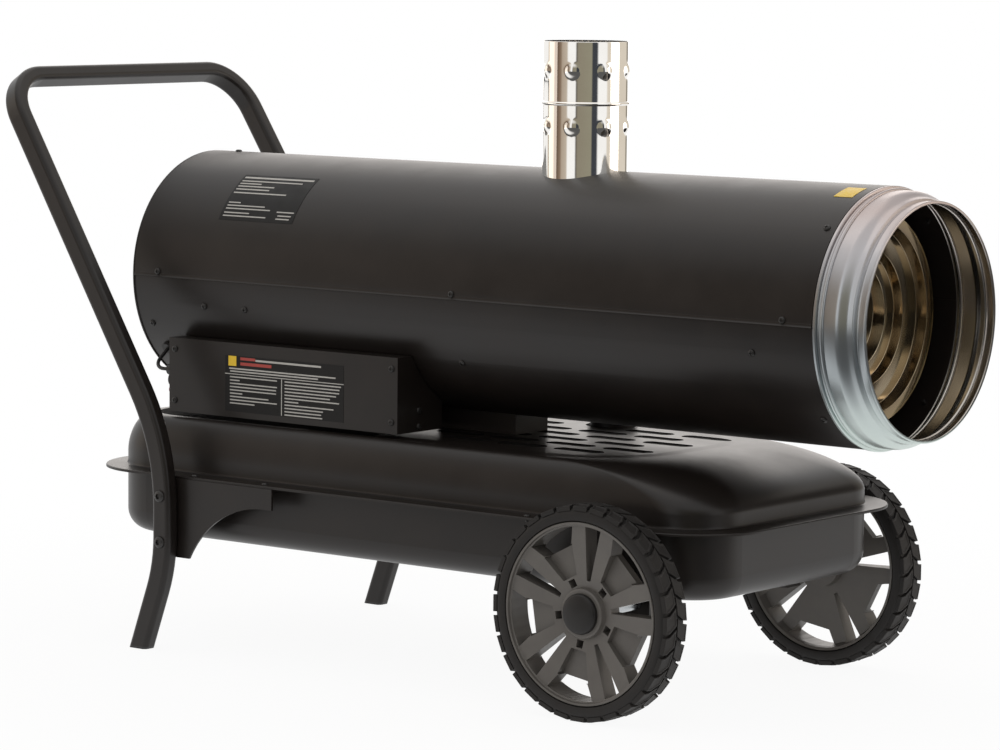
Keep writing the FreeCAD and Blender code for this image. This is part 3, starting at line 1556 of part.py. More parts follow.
def build_control_box():
    """Make the box, its cover, the screws and the two units inside."""
    clear = s.barrel_radius + s.seat_gap
    depth = box_lip_face - box_back
    outside = block(
        "box_outside", s.box_length, depth, s.box_height, (box_rear, -box_lip_face, box_bottom)
    )
    inside = block(
        "box_inside",
        s.box_length - s.box_sheet * 2,
        depth - s.box_sheet * 2,
        s.box_height - s.box_sheet * 2,
        (box_rear + s.box_sheet, s.box_sheet - box_lip_face, box_bottom + s.box_sheet),
    )
    barrel = barrel_rod("box_barrel", clear, s.barrel_rear, barrel_front)
    back_wall = barrel_rod("box_back_wall", clear + s.box_sheet, s.barrel_rear, barrel_front)
    opening = block(
        "box_opening",
        s.box_length - s.box_lip * 2,
        s.box_sheet * 3,
        s.box_height - s.box_lip * 2,
        (box_rear + s.box_lip, -box_lip_face - s.box_sheet, box_bottom + s.box_lip),
    )
    cavity = cut("box_cavity", inside, back_wall)
    publish("control_box_body", cut("control_box_body", outside, barrel, cavity, opening, *control_holes()))

    cover = block(
        "cover_plate", s.box_length, s.box_sheet, s.box_height, (box_rear, -box_face, box_bottom)
    )
    hole = s.screw_radius + s.seat_gap
    cover_holes = [
        rod("cover_hole", hole, OVERSHOOT * 4, (x, OVERSHOOT * 2 - box_face, z), "-Y")
        for x, z in cover_screw_places()
    ]
    publish("control_box_cover", cut("control_box_cover", cover, *cover_holes))

    screws = []
    for x, z in cover_screw_places():
        head = rod("cover_head", s.head_radius, s.head_height, (x, -box_face, z), "-Y")
        shank = rod("cover_shank", s.screw_radius, s.screw_length, (x, -box_face, z), "Y")
        screws.append(fuse("cover_screw", head, shank))
    for y, z in end_screw_places():
        head = rod("end_head", s.head_radius, s.head_height, (box_front, y, z), "X")
        shank = rod("end_shank", s.screw_radius, s.screw_length, (box_front, y, z), "-X")
        screws.append(fuse("end_screw", head, shank))
    publish("box_screws", group("box_screws", screws))

    floor = box_bottom + s.box_sheet
    inner_face = s.box_sheet * 2 + s.unit_gap - box_face
    publish(
        "ignition_transformer",
        block(
            "ignition_transformer",
            s.transformer_length,
            s.transformer_width,
            s.transformer_height,
            (box_front - s.transformer_inset - s.transformer_length, inner_face, floor),
        ),
    )
    publish(
        "burner_controller",
        block(
            "burner_controller",
            s.controller_length,
            s.controller_width,
            s.controller_height,
            (box_front - s.controller_inset - s.controller_length, inner_face, floor),
        ),
    )


def cover_screw_places():
    """List where the screws go through the cover."""
    return [
        (x, z)
        for x in (box_rear + s.cover_screw_inset, box_front - s.cover_screw_inset)
        for z in (box_bottom + s.cover_screw_drop, box_top - s.cover_screw_drop)
    ]


def end_screw_places():
    """List where the screws go into the front end of the box."""
    low = box_bottom + s.front_screw_rise
    return [(s.front_screw_inset - box_face, low + s.front_screw_pitch * step) for step in (0, 1)]


def gland_places():
    """List where the cables and the mains inlet pass the rear end of the box, with their bores."""
    places = []
    for angle in (s.motor_cable_angle, s.valve_cable_angle):
        y = -(cable_ring * angle.cosine())
        z = axis_height + cable_ring * angle.sine()
        places.append((y, z, s.cable_radius + s.seat_gap))
    return places + [(s.inlet_inset - box_face, box_bottom + s.inlet_rise, s.inlet_bore)]


def control_holes():
    """Make the cutters for the box's screws, controls and glands."""
    hole = s.screw_radius + s.seat_gap
    through = OVERSHOOT * 2
    rear = box_rear - OVERSHOOT
    cutters = []
    for x, z in cover_screw_places():
        cutters.append(rod("lip_hole", hole, through, (x, OVERSHOOT - box_lip_face, z), "-Y"))
    for y, z in end_screw_places():
        cutters.append(rod("end_hole", hole, through, (box_front - OVERSHOOT, y, z), "X"))
    for y, z, bore in gland_places():
        cutters.append(rod("gland_hole", s.gland_radius / 2 + bore / 2, through, (rear, y, z), "X"))
    cutters.append(rod("knob_hole", s.knob_shaft_radius + s.run_gap, through, (rear, -knob_y, knob_z), "X"))
    cutters.append(
        rod("button_hole", s.button_radius + s.seat_gap, through, (rear, -button_y, button_z), "X")
    )
    gap = s.move_gap
    cutters.append(
        block(
            "rocker_hole",
            through,
            s.rocker_width + gap * 2,
            (s.rocker_radius + gap) * 2,
            (rear, -rocker_y - s.rocker_width / 2 - gap, rocker_z - s.rocker_radius - gap),
        )
    )
    return cutters


def build_controls():
    """Make the rocker, the knob, the reset button and the cable glands on the rear end of the box."""
    drum = rod(
        "rocker_drum",
        s.rocker_radius,
        s.rocker_width,
        (rocker_x, -rocker_y - s.rocker_width / 2, rocker_z),
        "Y",
    )
    wedge = block("rocker_wedge", s.rocker_radius, s.rocker_width * 2, s.rocker_radius * 2, (0, 0, 0))
    lean = Rotation(Vector(0, 1, 0), s.rocker_tilt.value)
    place(
        wedge,
        box_rear - s.rocker_depth - s.rocker_radius * lean.multVec(Vector(1, 0, 0)).x,
        -rocker_y - s.rocker_width,
        rocker_z,
        lean,
    )
    publish("power_switch", cut("power_switch", drum, wedge))

    knob_base = box_rear - s.move_gap
    body = rod("knob_body", s.knob_radius, s.knob_length, (knob_base, -knob_y, knob_z), "-X")
    inside = box_rear + s.inside_reach
    shaft = rod(
        "knob_shaft", s.knob_shaft_radius, inside - knob_base, (inside, -knob_y, knob_z), "-X"
    )
    mark = block(
        "knob_pointer",
        s.knob_mark,
        s.knob_mark,
        s.knob_radius,
        (knob_base - s.knob_length - s.knob_mark, -knob_y - s.knob_mark / 2, knob_z),
    )
    publish("thermostat_knob", fuse("thermostat_knob", body, shaft, mark))

    publish(
        "reset_button",
        rod(
            "reset_button",
            s.button_radius,
            s.button_length,
            (box_rear - s.button_reach, -button_y, button_z),
            "X",
        ),
    )

    glands = []
    for y, z, bore in gland_places():
        flange = rod("gland_flange", s.gland_radius, s.gland_length, (box_rear, y, z), "-X")
        neck_radius = s.gland_radius / 2 + bore / 2 - s.seat_gap
        neck = rod("gland_neck", neck_radius, s.inside_reach, (box_rear, y, z), "X")
        passage = rod(
            "gland_bore", bore, s.gland_length * 3, (box_rear - s.gland_length * 1.5, y, z), "X"
        )
        glands.append(cut("gland", fuse("gland_whole", flange, neck), passage))
    publish("cable_glands", group("cable_glands", glands))


def build_cables():
    """Make the grommets in the barrel and the two cables that pass them."""
    grommets = []
    seated = lower_shell_radius - s.seat_gap
    for angle in (s.motor_cable_angle, s.valve_cable_angle):
        neck = radial_rod(
            "grommet_neck",
            s.grommet_radius - s.seat_gap,
            barrel_bore - s.grommet_lip,
            s.shell_sheet + s.grommet_lip * 2,
            cable_entry,
            angle,
        )
        lip = radial_rod(
            "grommet_lip", s.grommet_radius + s.grommet_lip, seated, s.grommet_lip * 2, cable_entry, angle
        )
        barrel = barrel_rod("grommet_barrel", seated + s.seat_gap, s.barrel_rear, barrel_front)
        collar = cut("grommet_collar", lip, barrel)
        passage = radial_rod(
            "grommet_bore", s.cable_radius + s.seat_gap, s.coil_reach, s.barrel_radius, cable_entry, angle
        )
        grommets.append(cut("grommet", fuse("grommet_whole", neck, collar), passage))
    publish("barrel_grommets", group("barrel_grommets", grommets))

    start = box_rear.value + s.inside_reach.value
    entry = cable_entry.value
    outer = cable_ring.value
    terminal_face = motor_rear.value + s.motor_bell_length.value - s.seat_gap.value
    terminal_ring = s.motor_radius.value + s.terminal_size.value / 4
    # Each cable's stations are places along X with the distance from the barrel axis
    leaving = [(start, outer), (entry, outer)]
    to_motor = [(entry, 134), (-414.5, 96), (-388.5, 72), (terminal_face, terminal_ring)]
    to_valve = [(entry, s.coil_reach.value + s.seat_gap.value)]
    routes = {
        "motor_cable": (s.motor_cable_angle, leaving + to_motor),
        "valve_cable": (s.valve_cable_angle, leaving + to_valve),
    }
    for node, (angle, stations) in routes.items():
        across = Vector(0, -angle.cosine().value, angle.sine().value)
        axis = Vector(0, 0, axis_height.value)
        points = [axis + across * radius + Vector(x, 0, 0) for x, radius in stations]
        shape_piece(node, round_run(s.cable_radius.value, points, easy_radii(points)))


def write_parts():
    """Check every object and write each piece to its own file."""
    doc.recompute()
    for feature in doc.Objects:
        if "Invalid" in feature.State or "Error" in feature.State:
            raise ValueError(f"{feature.Label} failed: {feature.State}")
    os.makedirs("parts", exist_ok=True)
    for feature in subparts:
        if feature.Shape.isNull() or not feature.Shape.isValid() or not feature.Shape.Solids:
            raise ValueError(f"{feature.Label} has no valid solid")
    for feature in subparts:
        feature.Shape.exportStep(os.path.join("parts", f"{feature.Label}.step"))
    print(len(subparts), "pieces")


build_barrel()
build_outlet_collar()
build_flue()
build_exchanger()
build_burner()
build_drive()
build_fuel_lines()
build_rear_guard()
build_tank()
build_heat_shield()
build_saddles()
build_filler()
build_handle()
build_axle()
build_wheel("near", -1)
build_wheel("far", 1)
build_control_box()
build_controls()
build_cables()
write_parts()
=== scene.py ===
"""Dress the indirect-fired diesel heater: finishes, modelled pieces, stage, lamps and camera."""

import logging
import math
from dataclasses import dataclass
from enum import Enum
from typing import Callable, Sequence

import bmesh
import bpy
from mathutils import Matrix, Vector


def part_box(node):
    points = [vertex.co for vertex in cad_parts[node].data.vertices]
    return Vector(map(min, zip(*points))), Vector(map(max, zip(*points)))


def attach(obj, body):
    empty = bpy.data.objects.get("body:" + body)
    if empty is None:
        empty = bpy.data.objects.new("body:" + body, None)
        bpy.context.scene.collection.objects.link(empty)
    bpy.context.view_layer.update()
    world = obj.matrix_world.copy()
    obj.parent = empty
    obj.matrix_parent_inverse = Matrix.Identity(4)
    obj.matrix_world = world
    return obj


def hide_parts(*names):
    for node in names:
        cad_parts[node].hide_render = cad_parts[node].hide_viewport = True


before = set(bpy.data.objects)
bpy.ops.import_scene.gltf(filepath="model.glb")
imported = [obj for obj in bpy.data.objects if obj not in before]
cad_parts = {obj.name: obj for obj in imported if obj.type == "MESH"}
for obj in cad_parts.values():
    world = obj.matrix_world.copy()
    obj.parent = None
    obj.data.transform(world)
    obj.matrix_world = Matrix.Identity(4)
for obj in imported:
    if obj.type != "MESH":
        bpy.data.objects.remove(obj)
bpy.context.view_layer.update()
LOG = logging.getLogger("heater")

MM = 0.001
MERGE_GAP = 1e-6
SMOOTH_ANGLE = math.radians(32)
CORNER_STEPS = 14
# How much of a face's normal lies along an axis when the face counts as square to it
SQUARE_ON = 0.9
# Where a finish's noise stands when its tone and gloss reach their ends
NOISE_LOW = 0.3
NOISE_HIGH = 0.7
Piece = bpy.types.Object
Tree = bpy.types.NodeTree
Node = bpy.types.Node
Socket = bpy.types.NodeSocket
Pair = tuple[float, float]
Bar = tuple[float, float, float, float]
Profile = list[Pair]


class Axis(Enum):
    """The direction that a turned piece is spun about."""

    X = (1.0, 0.0, 0.0)
    Z = (0.0, 0.0, 1.0)

    def place(self, radius: float, along: float) -> Vector:
        """Return the point of a profile at a radius and a height, in millimetres.

        Args:
            radius: Distance from the axis.
            along: Distance along the axis.

        Returns:
            The point in metres, before the piece is moved to its centre.
        """
        point = (along, 0.0, radius) if self is Axis.X else (radius, 0.0, along)
        return Vector(point) * MM


class Side(Enum):
    """The two long sides of the heater, by the sign of Y."""

    NEAR = -1
    FAR = 1

    @property
    def word(self) -> str:
        """Return the side's name as the nodes spell it."""
        return self.name.lower()


def linear(colour: str) -> tuple[float, float, float, float]:
    """Turn an sRGB hex colour into linear RGBA.

    Args:
        colour: The colour as #rrggbb.

    Returns:
        Linear red, green, blue and an alpha of one.
    """
    # The constants below are those of the sRGB curve.
    shares = [int(colour[i:i + 2], 16) / 255 for i in (1, 3, 5)]
    red, green, blue = [s / 12.92 if s <= 0.04045 else ((s + 0.055) / 1.055) ** 2.4 for s in shares]
    return red, green, blue, 1.0


def add_node(
    tree: Tree,
    kind: str,
    inputs: dict | None = None,
    stops: Sequence[tuple[float, str]] = (),
    **settings: object,
) -> Node:
    """Add a node with its settings and links.

    Args:
        tree: The node tree that gets it.
        kind: The node's Blender type.
        inputs: Socket name or number against a value or the socket that feeds it.
        stops: Places and hex colours of a colour ramp.
        **settings: Properties of the node itself.

    Returns:
        The new node.
    """
    node = tree.nodes.new(kind)
    for name, value in settings.items():
        setattr(node, name, value)
    for socket, value in (inputs or {}).items():
        if isinstance(value, Socket):
            tree.links.new(value, node.inputs[socket])
        else:
            node.inputs[socket].default_value = value
    for number, (place, colour) in enumerate(stops):
        elements = node.color_ramp.elements
        element = elements[number] if number < len(elements) else elements.new(place)
        element.position = place
        element.color = linear(colour)
    return node


def new_material(name: str) -> tuple[bpy.types.Material, Tree, Node]:
    """Add a material that is built of nodes.

    Args:
        name: The material's name.

    Returns:
        The material, its node tree and its surface shader.
    """
    material = bpy.data.materials.new(name)
    material.use_nodes = True
    tree = material.node_tree
    return material, tree, tree.nodes["Principled BSDF"]


@dataclass(frozen=True)
class Finish:
    """A finish with tone patches, broken gloss and a fine grain, all at sizes in millimetres."""

    name: str
    dark: str
    light: str
    roughness: float
    metallic: float = 0.0
    ior: float = 1.5
    gloss_drift: float = 0.08
    patch_mm: float = 40.0
    grain_mm: float = 2.5
    grain_depth_mm: float = 0.02
    sheer: float = 0.0

    def material(self) -> bpy.types.Material:
        """Make the finish's material at its first use.

        Returns:
            The material, the same one each time.
        """
        made = bpy.data.materials.get(self.name)
        if made is None:
            made, tree, shader = new_material(self.name)
            shader.inputs["Metallic"].default_value = self.metallic
            shader.inputs["IOR"].default_value = self.ior
            shader.inputs["Transmission Weight"].default_value = self.sheer
            coords = add_node(tree, "ShaderNodeTexCoord").outputs["Object"]
            self.paint(tree, shader, coords)
        return made

    def paint(self, tree: Tree, shader: Node, coords: Socket) -> None:
        """Wire the tone patches, the gloss and the grain.

        Args:
            tree: The material's node tree.
            shader: Its surface shader.
            coords: Object coordinates, in metres.
        """
        patches = add_node(tree, "ShaderNodeTexNoise", {
            "Vector": coords, "Scale": 1 / (self.patch_mm * MM), "Detail": 4.0, "Roughness": 0.6,
        })
        tone = add_node(
            tree, "ShaderNodeValToRGB", {"Fac": patches.outputs["Fac"]},
            stops=((NOISE_LOW, self.dark), (NOISE_HIGH, self.light)),
        )
        tree.links.new(tone.outputs["Color"], shader.inputs["Base Color"])
        self.texture(tree, shader, coords, patches.outputs["Fac"])

    def texture(self, tree: Tree, shader: Node, coords: Socket, patches: Socket) -> None:
        """Wire the gloss to the patches and the bump to the grain.

        Args:
            tree: The material's node tree.
            shader: Its surface shader.
            coords: Object coordinates, in metres.
            patches: The slow noise that the gloss follows.
        """
        gloss = add_node(tree, "ShaderNodeMapRange", {
            "Value": patches, "From Min": NOISE_LOW, "From Max": NOISE_HIGH,
            "To Min": self.roughness - self.gloss_drift, "To Max": self.roughness + self.gloss_drift,
        })
        tree.links.new(gloss.outputs["Result"], shader.inputs["Roughness"])
        grain = add_node(tree, "ShaderNodeTexNoise", {
            "Vector": coords, "Scale": 1 / (self.grain_mm * MM), "Detail": 2.0,
        })
        bump = add_node(tree, "ShaderNodeBump", {
            "Height": grain.outputs["Fac"], "Strength": 1.0, "Distance": self.grain_depth_mm * MM,
        })
        tree.links.new(bump.outputs["Normal"], shader.inputs["Normal"])


@dataclass(frozen=True)
class Passivated(Finish):
    """Bright zinc under a thin passive film, whose tint drifts from its foot to its top; its paler foot is
    painted reflection of the white floor.
    """

    # Tones at the foot and at the top: the paler foot is painted reflection of the white floor.
    foot: str = "#ccd8d2"
    top: str = "#a89e9c"
    foot_mm: float = 308.0
    top_mm: float = 612.0
    cloud_mm: float = 45.0

    def paint(self, tree: Tree, shader: Node, coords: Socket) -> None:
        """Wire the film's tints along the height, moved up and down by slow clouds; the paler foot is
        painted reflection of the white floor.

        Args:
            tree: The material's node tree.
            shader: Its surface shader.
            coords: Object coordinates, in metres.
        """
        clouds = add_node(tree, "ShaderNodeTexNoise", {
            "Vector": coords, "Scale": 1 / (self.patch_mm * MM), "Detail": 3.0,
        })
        height = add_node(tree, "ShaderNodeSeparateXYZ", {"Vector": coords})
        moved = add_node(tree, "ShaderNodeMath", {
            0: clouds.outputs["Fac"], 1: self.cloud_mm * MM, 2: height.outputs["Z"],
        }, operation="MULTIPLY_ADD")
        share = add_node(tree, "ShaderNodeMapRange", {
            "Value": moved.outputs["Value"], "From Min": self.foot_mm * MM, "From Max": self.top_mm * MM,
        })
        tone = add_node(
            tree, "ShaderNodeValToRGB", {"Fac": share.outputs["Result"]},
            stops=((0.05, self.foot), (0.4, self.dark), (0.7, self.light), (1.0, self.top)),
        )
        tree.links.new(tone.outputs["Color"], shader.inputs["Base Color"])
        self.texture(tree, shader, coords, clouds.outputs["Fac"])


@dataclass(frozen=True)
class HeatTint(Finish):
    """Stainless that ran hot: oxide colours in rings about the burner axis."""

    axis_height_mm: float = 460.0
    reach_mm: float = 130.0
    waviness: float = 0.12
    middle: str = "#8d8f93"
    inner_ring: str = "#978b7b"
    rim: str = "#b8a888"

    def paint(self, tree: Tree, shader: Node, coords: Socket) -> None:
        """Wire the rings of oxide colour, broken up by noise.

        Args:
            tree: The material's node tree.
            shader: Its surface shader.
            coords: Object coordinates, in metres.
        """
        centred = add_node(tree, "ShaderNodeVectorMath", {
            0: coords, 1: (0.0, 0.0, self.axis_height_mm * MM),
        }, operation="SUBTRACT")
        flat = add_node(tree, "ShaderNodeVectorMath", {
            0: centred.outputs["Vector"], 1: (0.0, 1.0, 1.0),
        }, operation="MULTIPLY")
        radius = add_node(tree, "ShaderNodeVectorMath", {0: flat.outputs["Vector"]}, operation="LENGTH")
        patches = add_node(tree, "ShaderNodeTexNoise", {
            "Vector": coords, "Scale": 1 / (self.patch_mm * MM), "Detail": 4.0,
        })
        share = add_node(tree, "ShaderNodeMath", {
            0: radius.outputs["Value"], 1: 1 / (self.reach_mm * MM),
        }, operation="MULTIPLY")
        wavy = add_node(tree, "ShaderNodeMath", {
            0: patches.outputs["Fac"], 1: self.waviness, 2: share.outputs["Value"],
        }, operation="MULTIPLY_ADD")
        tone = add_node(
            tree, "ShaderNodeValToRGB", {"Fac": wavy.outputs["Value"]},
            stops=(
                (0.30, self.middle), (0.46, self.inner_ring), (0.55, self.light), (0.66, self.dark),
                (0.78, self.light), (0.90, self.dark), (1.0, self.rim),
            ),
        )
        tree.links.new(tone.outputs["Color"], shader.inputs["Base Color"])
        self.texture(tree, shader, coords, patches.outputs["Fac"])


# Satin black powder coat, sprayed and baked: deep, slightly warm, with a faint orange peel.
# The peel is drawn about twice its real spacing so that it shows.
POWDER_COAT = Finish("black_powder_coat_satin", "#181412", "#1e1916", 0.36, ior=1.42, patch_mm=55.0,
                     grain_mm=2.4, grain_depth_mm=0.008, gloss_drift=0.025)
# The same coat, made darker and duller as painted shade on the deck under the shield and on the slots'
# walls, so that the slots read dark.
SLOT_SHADE_COAT = Finish("black_powder_coat_painted_slot_shade", "#0d0c0b", "#131110", 0.9, ior=1.2, patch_mm=30.0,
                    grain_depth_mm=0.02)
# Black oxide on steel screws: dull, with a brown cast.
BLACK_OXIDE = Finish("black_oxide_steel", "#171615", "#262321", 0.45, patch_mm=3.0, grain_mm=0.8)
# Galvanised sheet with a passive film: bright, half mirror, faintly green low down and a warm grey on top;
# the paleness low down is painted reflection of the white floor.
GALVANISED = Passivated("galvanised_sheet_passivated_painted_reflection", "#b4bbbe", "#b9bcc0", 0.31, metallic=1.0,
                        patch_mm=60.0, grain_mm=9.0, grain_depth_mm=0.012, gloss_drift=0.03)
# The same sheet inside the duct as a warmer, smoother copy: its warm grey is painted reflection of the
# exchanger's bronze.
INSIDE_REFLECTION_ZINC = Passivated("galvanised_sheet_inside_painted_reflection", "#c2bcb6", "#c6c0bb", 0.24, metallic=1.0,
                         foot="#c4beb6", top="#bdb7b2", patch_mm=60.0, grain_mm=9.0, gloss_drift=0.03)
# Polished stainless tube: near mirror, with faint draw waviness.
POLISHED_STEEL = Finish("polished_stainless_tube", "#f0ede8", "#f7f5f1", 0.05, metallic=1.0,
                        patch_mm=45.0, grain_mm=14.0, grain_depth_mm=0.015, gloss_drift=0.015)
# Heat-tinted stainless: straw to bronze rings.
TINTED_STEEL = HeatTint("stainless_with_heat_tint", "#a4957d", "#b8ad97", 0.1, metallic=1.0,
                        patch_mm=18.0, grain_mm=5.0, grain_depth_mm=0.02, gloss_drift=0.05)
# Bright zinc plate on turned steel: pale, slightly blue.
ZINC_PLATE = Finish("zinc_plated_steel", "#a7abae", "#bfc3c5", 0.3, metallic=1.0, patch_mm=12.0)
# Grey enamel on a cast motor body: half gloss with a cast texture under it.
MOTOR_ENAMEL = Finish("grey_motor_enamel", "#4d5254", "#575c5e", 0.42, grain_mm=1.8,
                      grain_depth_mm=0.04)
# Sand-cast aluminium, unpainted: pale and matt.
CAST_ALUMINIUM = Finish("sand_cast_aluminium", "#9b9d9e", "#b3b5b5", 0.5, metallic=1.0,
                        grain_mm=1.4, grain_depth_mm=0.06)
# Machined brass, a little dulled.
BRASS = Finish("machined_brass", "#a98744", "#c19c55", 0.3, metallic=1.0, patch_mm=10.0)
# Drawn copper pipe with brown handling marks.
COPPER = Finish("drawn_copper", "#8f5a3d", "#b57450", 0.32, metallic=1.0, patch_mm=14.0)
# Glazed alumina insulator: white with a soft gloss.
CERAMIC = Finish("glazed_alumina", "#dcd9d0", "#e8e5dd", 0.25, patch_mm=8.0, grain_depth_mm=0.01)
# Moulded clear polymer bowl, tinted by fuel.
FILTER_BOWL = Finish("clear_polymer_bowl", "#cdb98c", "#d8c79d", 0.12, ior=1.49, sheer=0.75,
                     grain_depth_mm=0.005)
# Moulded elastomer of the coupling: dull orange-brown.
ELASTOMER = Finish("moulded_elastomer", "#5a3425", "#6b3f2c", 0.6, patch_mm=9.0)
# Injection-moulded charcoal polypropylene: fine spark texture and a low sheen.
CHARCOAL_PLASTIC = Finish("moulded_charcoal_polypropylene", "#585450", "#605c57", 0.42,
                          patch_mm=30.0, grain_mm=1.6, grain_depth_mm=0.03, gloss_drift=0.05)
# The darker grade of the hub caps, with the same texture.
CAP_PLASTIC = Finish("moulded_black_polypropylene", "#191716", "#201e1d", 0.45, ior=1.4, patch_mm=20.0,
                     grain_mm=1.6, grain_depth_mm=0.03, gloss_drift=0.05)
# Tyre rubber: matt, dusty black-grey.
TYRE_RUBBER = Finish("vulcanised_tyre_rubber", "#1a1817", "#24211f", 0.62, ior=1.4, patch_mm=18.0,
                     grain_mm=1.8, grain_depth_mm=0.05)
# Moulded black ABS: fine texture and half gloss.
BLACK_ABS = Finish("moulded_black_abs", "#161616", "#1e1d1d", 0.36, patch_mm=14.0, grain_mm=1.0)
# Moulded red ABS: deep signal red.
RED_ABS = Finish("moulded_red_abs", "#8e1a17", "#a3211c", 0.32, patch_mm=8.0, grain_mm=1.0)
# Black cable rubber and grommets: matt.
BLACK_RUBBER = Finish("black_cable_rubber", "#181717", "#232120", 0.58, patch_mm=10.0)
# Printed film on a plate: flat black and a pale bar ink.
LABEL_FILM = Finish("black_label_film", "#0d0c0c", "#121111", 0.5, ior=1.35, patch_mm=20.0,
                    grain_depth_mm=0.004)
PALE_INK = Finish("pale_label_ink", "#a5a29c", "#b4b1ab", 0.45, patch_mm=9.0, grain_depth_mm=0.004)
RED_INK = Finish("red_label_ink", "#9c352c", "#a83d33", 0.45, patch_mm=9.0, grain_depth_mm=0.004)
YELLOW_FILM = Finish("yellow_label_film", "#d8b21c", "#e2bd2a", 0.4, patch_mm=9.0,
                     grain_depth_mm=0.004)

FINISH_OF_SLOT: dict[str, Finish] = {
    "black_powder_coat": POWDER_COAT,
    "black_screw": BLACK_OXIDE,
    "galvanised_sheet": GALVANISED,
    "polished_stainless": POLISHED_STEEL,
    "heat_tinted_stainless": TINTED_STEEL,
    "zinc_steel": ZINC_PLATE,
    "motor_paint": MOTOR_ENAMEL,
    "cast_aluminium": CAST_ALUMINIUM,
    "nozzle_brass": BRASS,
    "copper_pipe": COPPER,
    "white_ceramic": CERAMIC,
    "filter_bowl": FILTER_BOWL,
    "coupling_polymer": ELASTOMER,
    "charcoal_wheel": CHARCOAL_PLASTIC,
    "tyre_rubber": TYRE_RUBBER,
    "black_plastic": BLACK_ABS,
    "red_plastic": RED_ABS,
    "black_rubber": BLACK_RUBBER,
}


def arc(radius: float, along: float, reach: float, start: float, end: float, steps: int) -> Profile:
    """Return points of an arc in a turned profile.

    Args:
        radius: The arc centre's distance from the axis.
        along: The arc centre's height.
        reach: The arc's own radius.
        start: First angle in degrees, from the axis direction towards the outside.
        end: Last angle in degrees.
        steps: Number of pieces that the arc is divided into.

    Returns:
        The points as radius and height.
    """
    angles = [math.radians(start + (end - start) * n / steps) for n in range(steps + 1)]
    return [(radius + reach * math.sin(a), along + reach * math.cos(a)) for a in angles]


def shifted(radius: float, stretch: Sequence[Pair]) -> Profile:
    """Return a stretch of a profile that is given as distances out from a radius."""
    return [(radius + out, along) for out, along in stretch]


def sheet_section(outside: Profile, thickness: float) -> Profile:
    """Close an outside line into the section of a sheet.

    Args:
        outside: The outer line, as radius and height.
        thickness: The sheet's thickness.

    Returns:
        The outer line, the inner line back, and the first point again.
    """
    inside = [(radius - thickness, along) for radius, along in reversed(outside)]
    return [*outside, *inside, outside[0]]


def draw_chain(name: str, points: Sequence[Vector]) -> Piece:
    """Draw a chain of edges through points and stay in edit mode.

    Args:
        name: The new object's name.
        points: The chain's points, in metres.

    Returns:
        The new object.
    """
    bpy.ops.object.select_all(action="DESELECT")
    bpy.ops.mesh.primitive_plane_add(size=MM, location=points[0])
    piece = bpy.context.object
    piece.name = name
    bpy.ops.object.mode_set(mode="EDIT")
    bpy.ops.mesh.merge(type="CENTER")
    for here, there in zip(points, points[1:]):
        bpy.ops.mesh.extrude_region_move(TRANSFORM_OT_translate={"value": there - here})
    return piece


def close_up(piece: Piece) -> Piece:
    """Merge doubles, turn the faces outwards, leave edit mode and put the place in the mesh.

    Args:
        piece: The object in edit mode.

    Returns:
        The same object.
    """
    bpy.ops.mesh.select_all(action="SELECT")
    bpy.ops.mesh.remove_doubles(threshold=MERGE_GAP)
    bpy.ops.mesh.normals_make_consistent(inside=False)
    bpy.ops.object.mode_set(mode="OBJECT")
    bpy.ops.object.transform_apply(location=True, rotation=True, scale=True)
    return piece


def lathe(name: str, profile: Profile, axis: Axis, centre: Vector, steps: int) -> Piece:
    """Spin a profile into a turned piece.

    Args:
        name: The piece's name.
        profile: Radius and height of each point, in millimetres.
        axis: The axis of the turn.
        centre: A point on the axis, in metres.
        steps: Number of steps round.

    Returns:
        The piece, closed and with its faces outwards.
    """
    piece = draw_chain(name, [centre + axis.place(*point) for point in profile])
    bpy.ops.mesh.select_all(action="SELECT")
    bpy.ops.mesh.spin(steps=steps, angle=math.tau, center=centre, axis=axis.value)
    return close_up(piece)


def extrude_outline(name: str, points: Sequence[Vector], move: Vector) -> Piece:
    """Fill an outline and extrude it into a closed solid.

    Args:
        name: The solid's name.
        points: The outline's corners in metres, not repeated at the end.
        move: How far the outline is extruded, in metres.

    Returns:
        The solid.
    """
    piece = draw_chain(name, points)
    bpy.ops.mesh.select_all(action="SELECT")
    bpy.ops.mesh.edge_face_add()
    bpy.ops.mesh.extrude_region_move(TRANSFORM_OT_translate={"value": move})
    return close_up(piece)


def prism(name: str, outline: Sequence[Pair], low: float, high: float) -> Piece:
    """Extrude an outline in the XY plane into a closed prism.

    Args:
        name: The object's name.
        outline: Corners in millimetres, not repeated at the end.
        low: Height of its foot, in millimetres.
        high: Height of its top, in millimetres.

    Returns:
        The prism.
    """
    foot = [Vector((x, y, low)) * MM for x, y in outline]
    return extrude_outline(name, foot, Vector((0.0, 0.0, (high - low) * MM)))


def make_active(piece: Piece) -> None:
    """Select one object alone and make it the active one.

    Args:
        piece: The object.
    """
    bpy.ops.object.select_all(action="DESELECT")
    piece.select_set(True)
    bpy.context.view_layer.objects.active = piece


def apply_modifier(piece: Piece, kind: str, **settings: object) -> None:
    """Add a modifier, set it and apply it.

    Args:
        piece: The object that it shapes.
        kind: The modifier's Blender type.
        **settings: Its properties.
    """
    make_active(piece)
    modifier = piece.modifiers.new(kind.lower(), kind)
    for name, value in settings.items():
        setattr(modifier, name, value)
    bpy.ops.object.modifier_apply(modifier=modifier.name)


def soften(piece: Piece, width: float, segments: int = 2, angle: float = 35.0) -> None:
    """Round the sharp edges of a piece.

    Args:
        piece: The object.
        width: Width of the rounding, in millimetres.
        segments: Number of faces across it.
        angle: Edges sharper than this, in degrees, are rounded.
    """
    apply_modifier(
        piece, "BEVEL", width=width * MM, segments=segments, limit_method="ANGLE",
        angle_limit=math.radians(angle), use_clamp_overlap=True,
    )


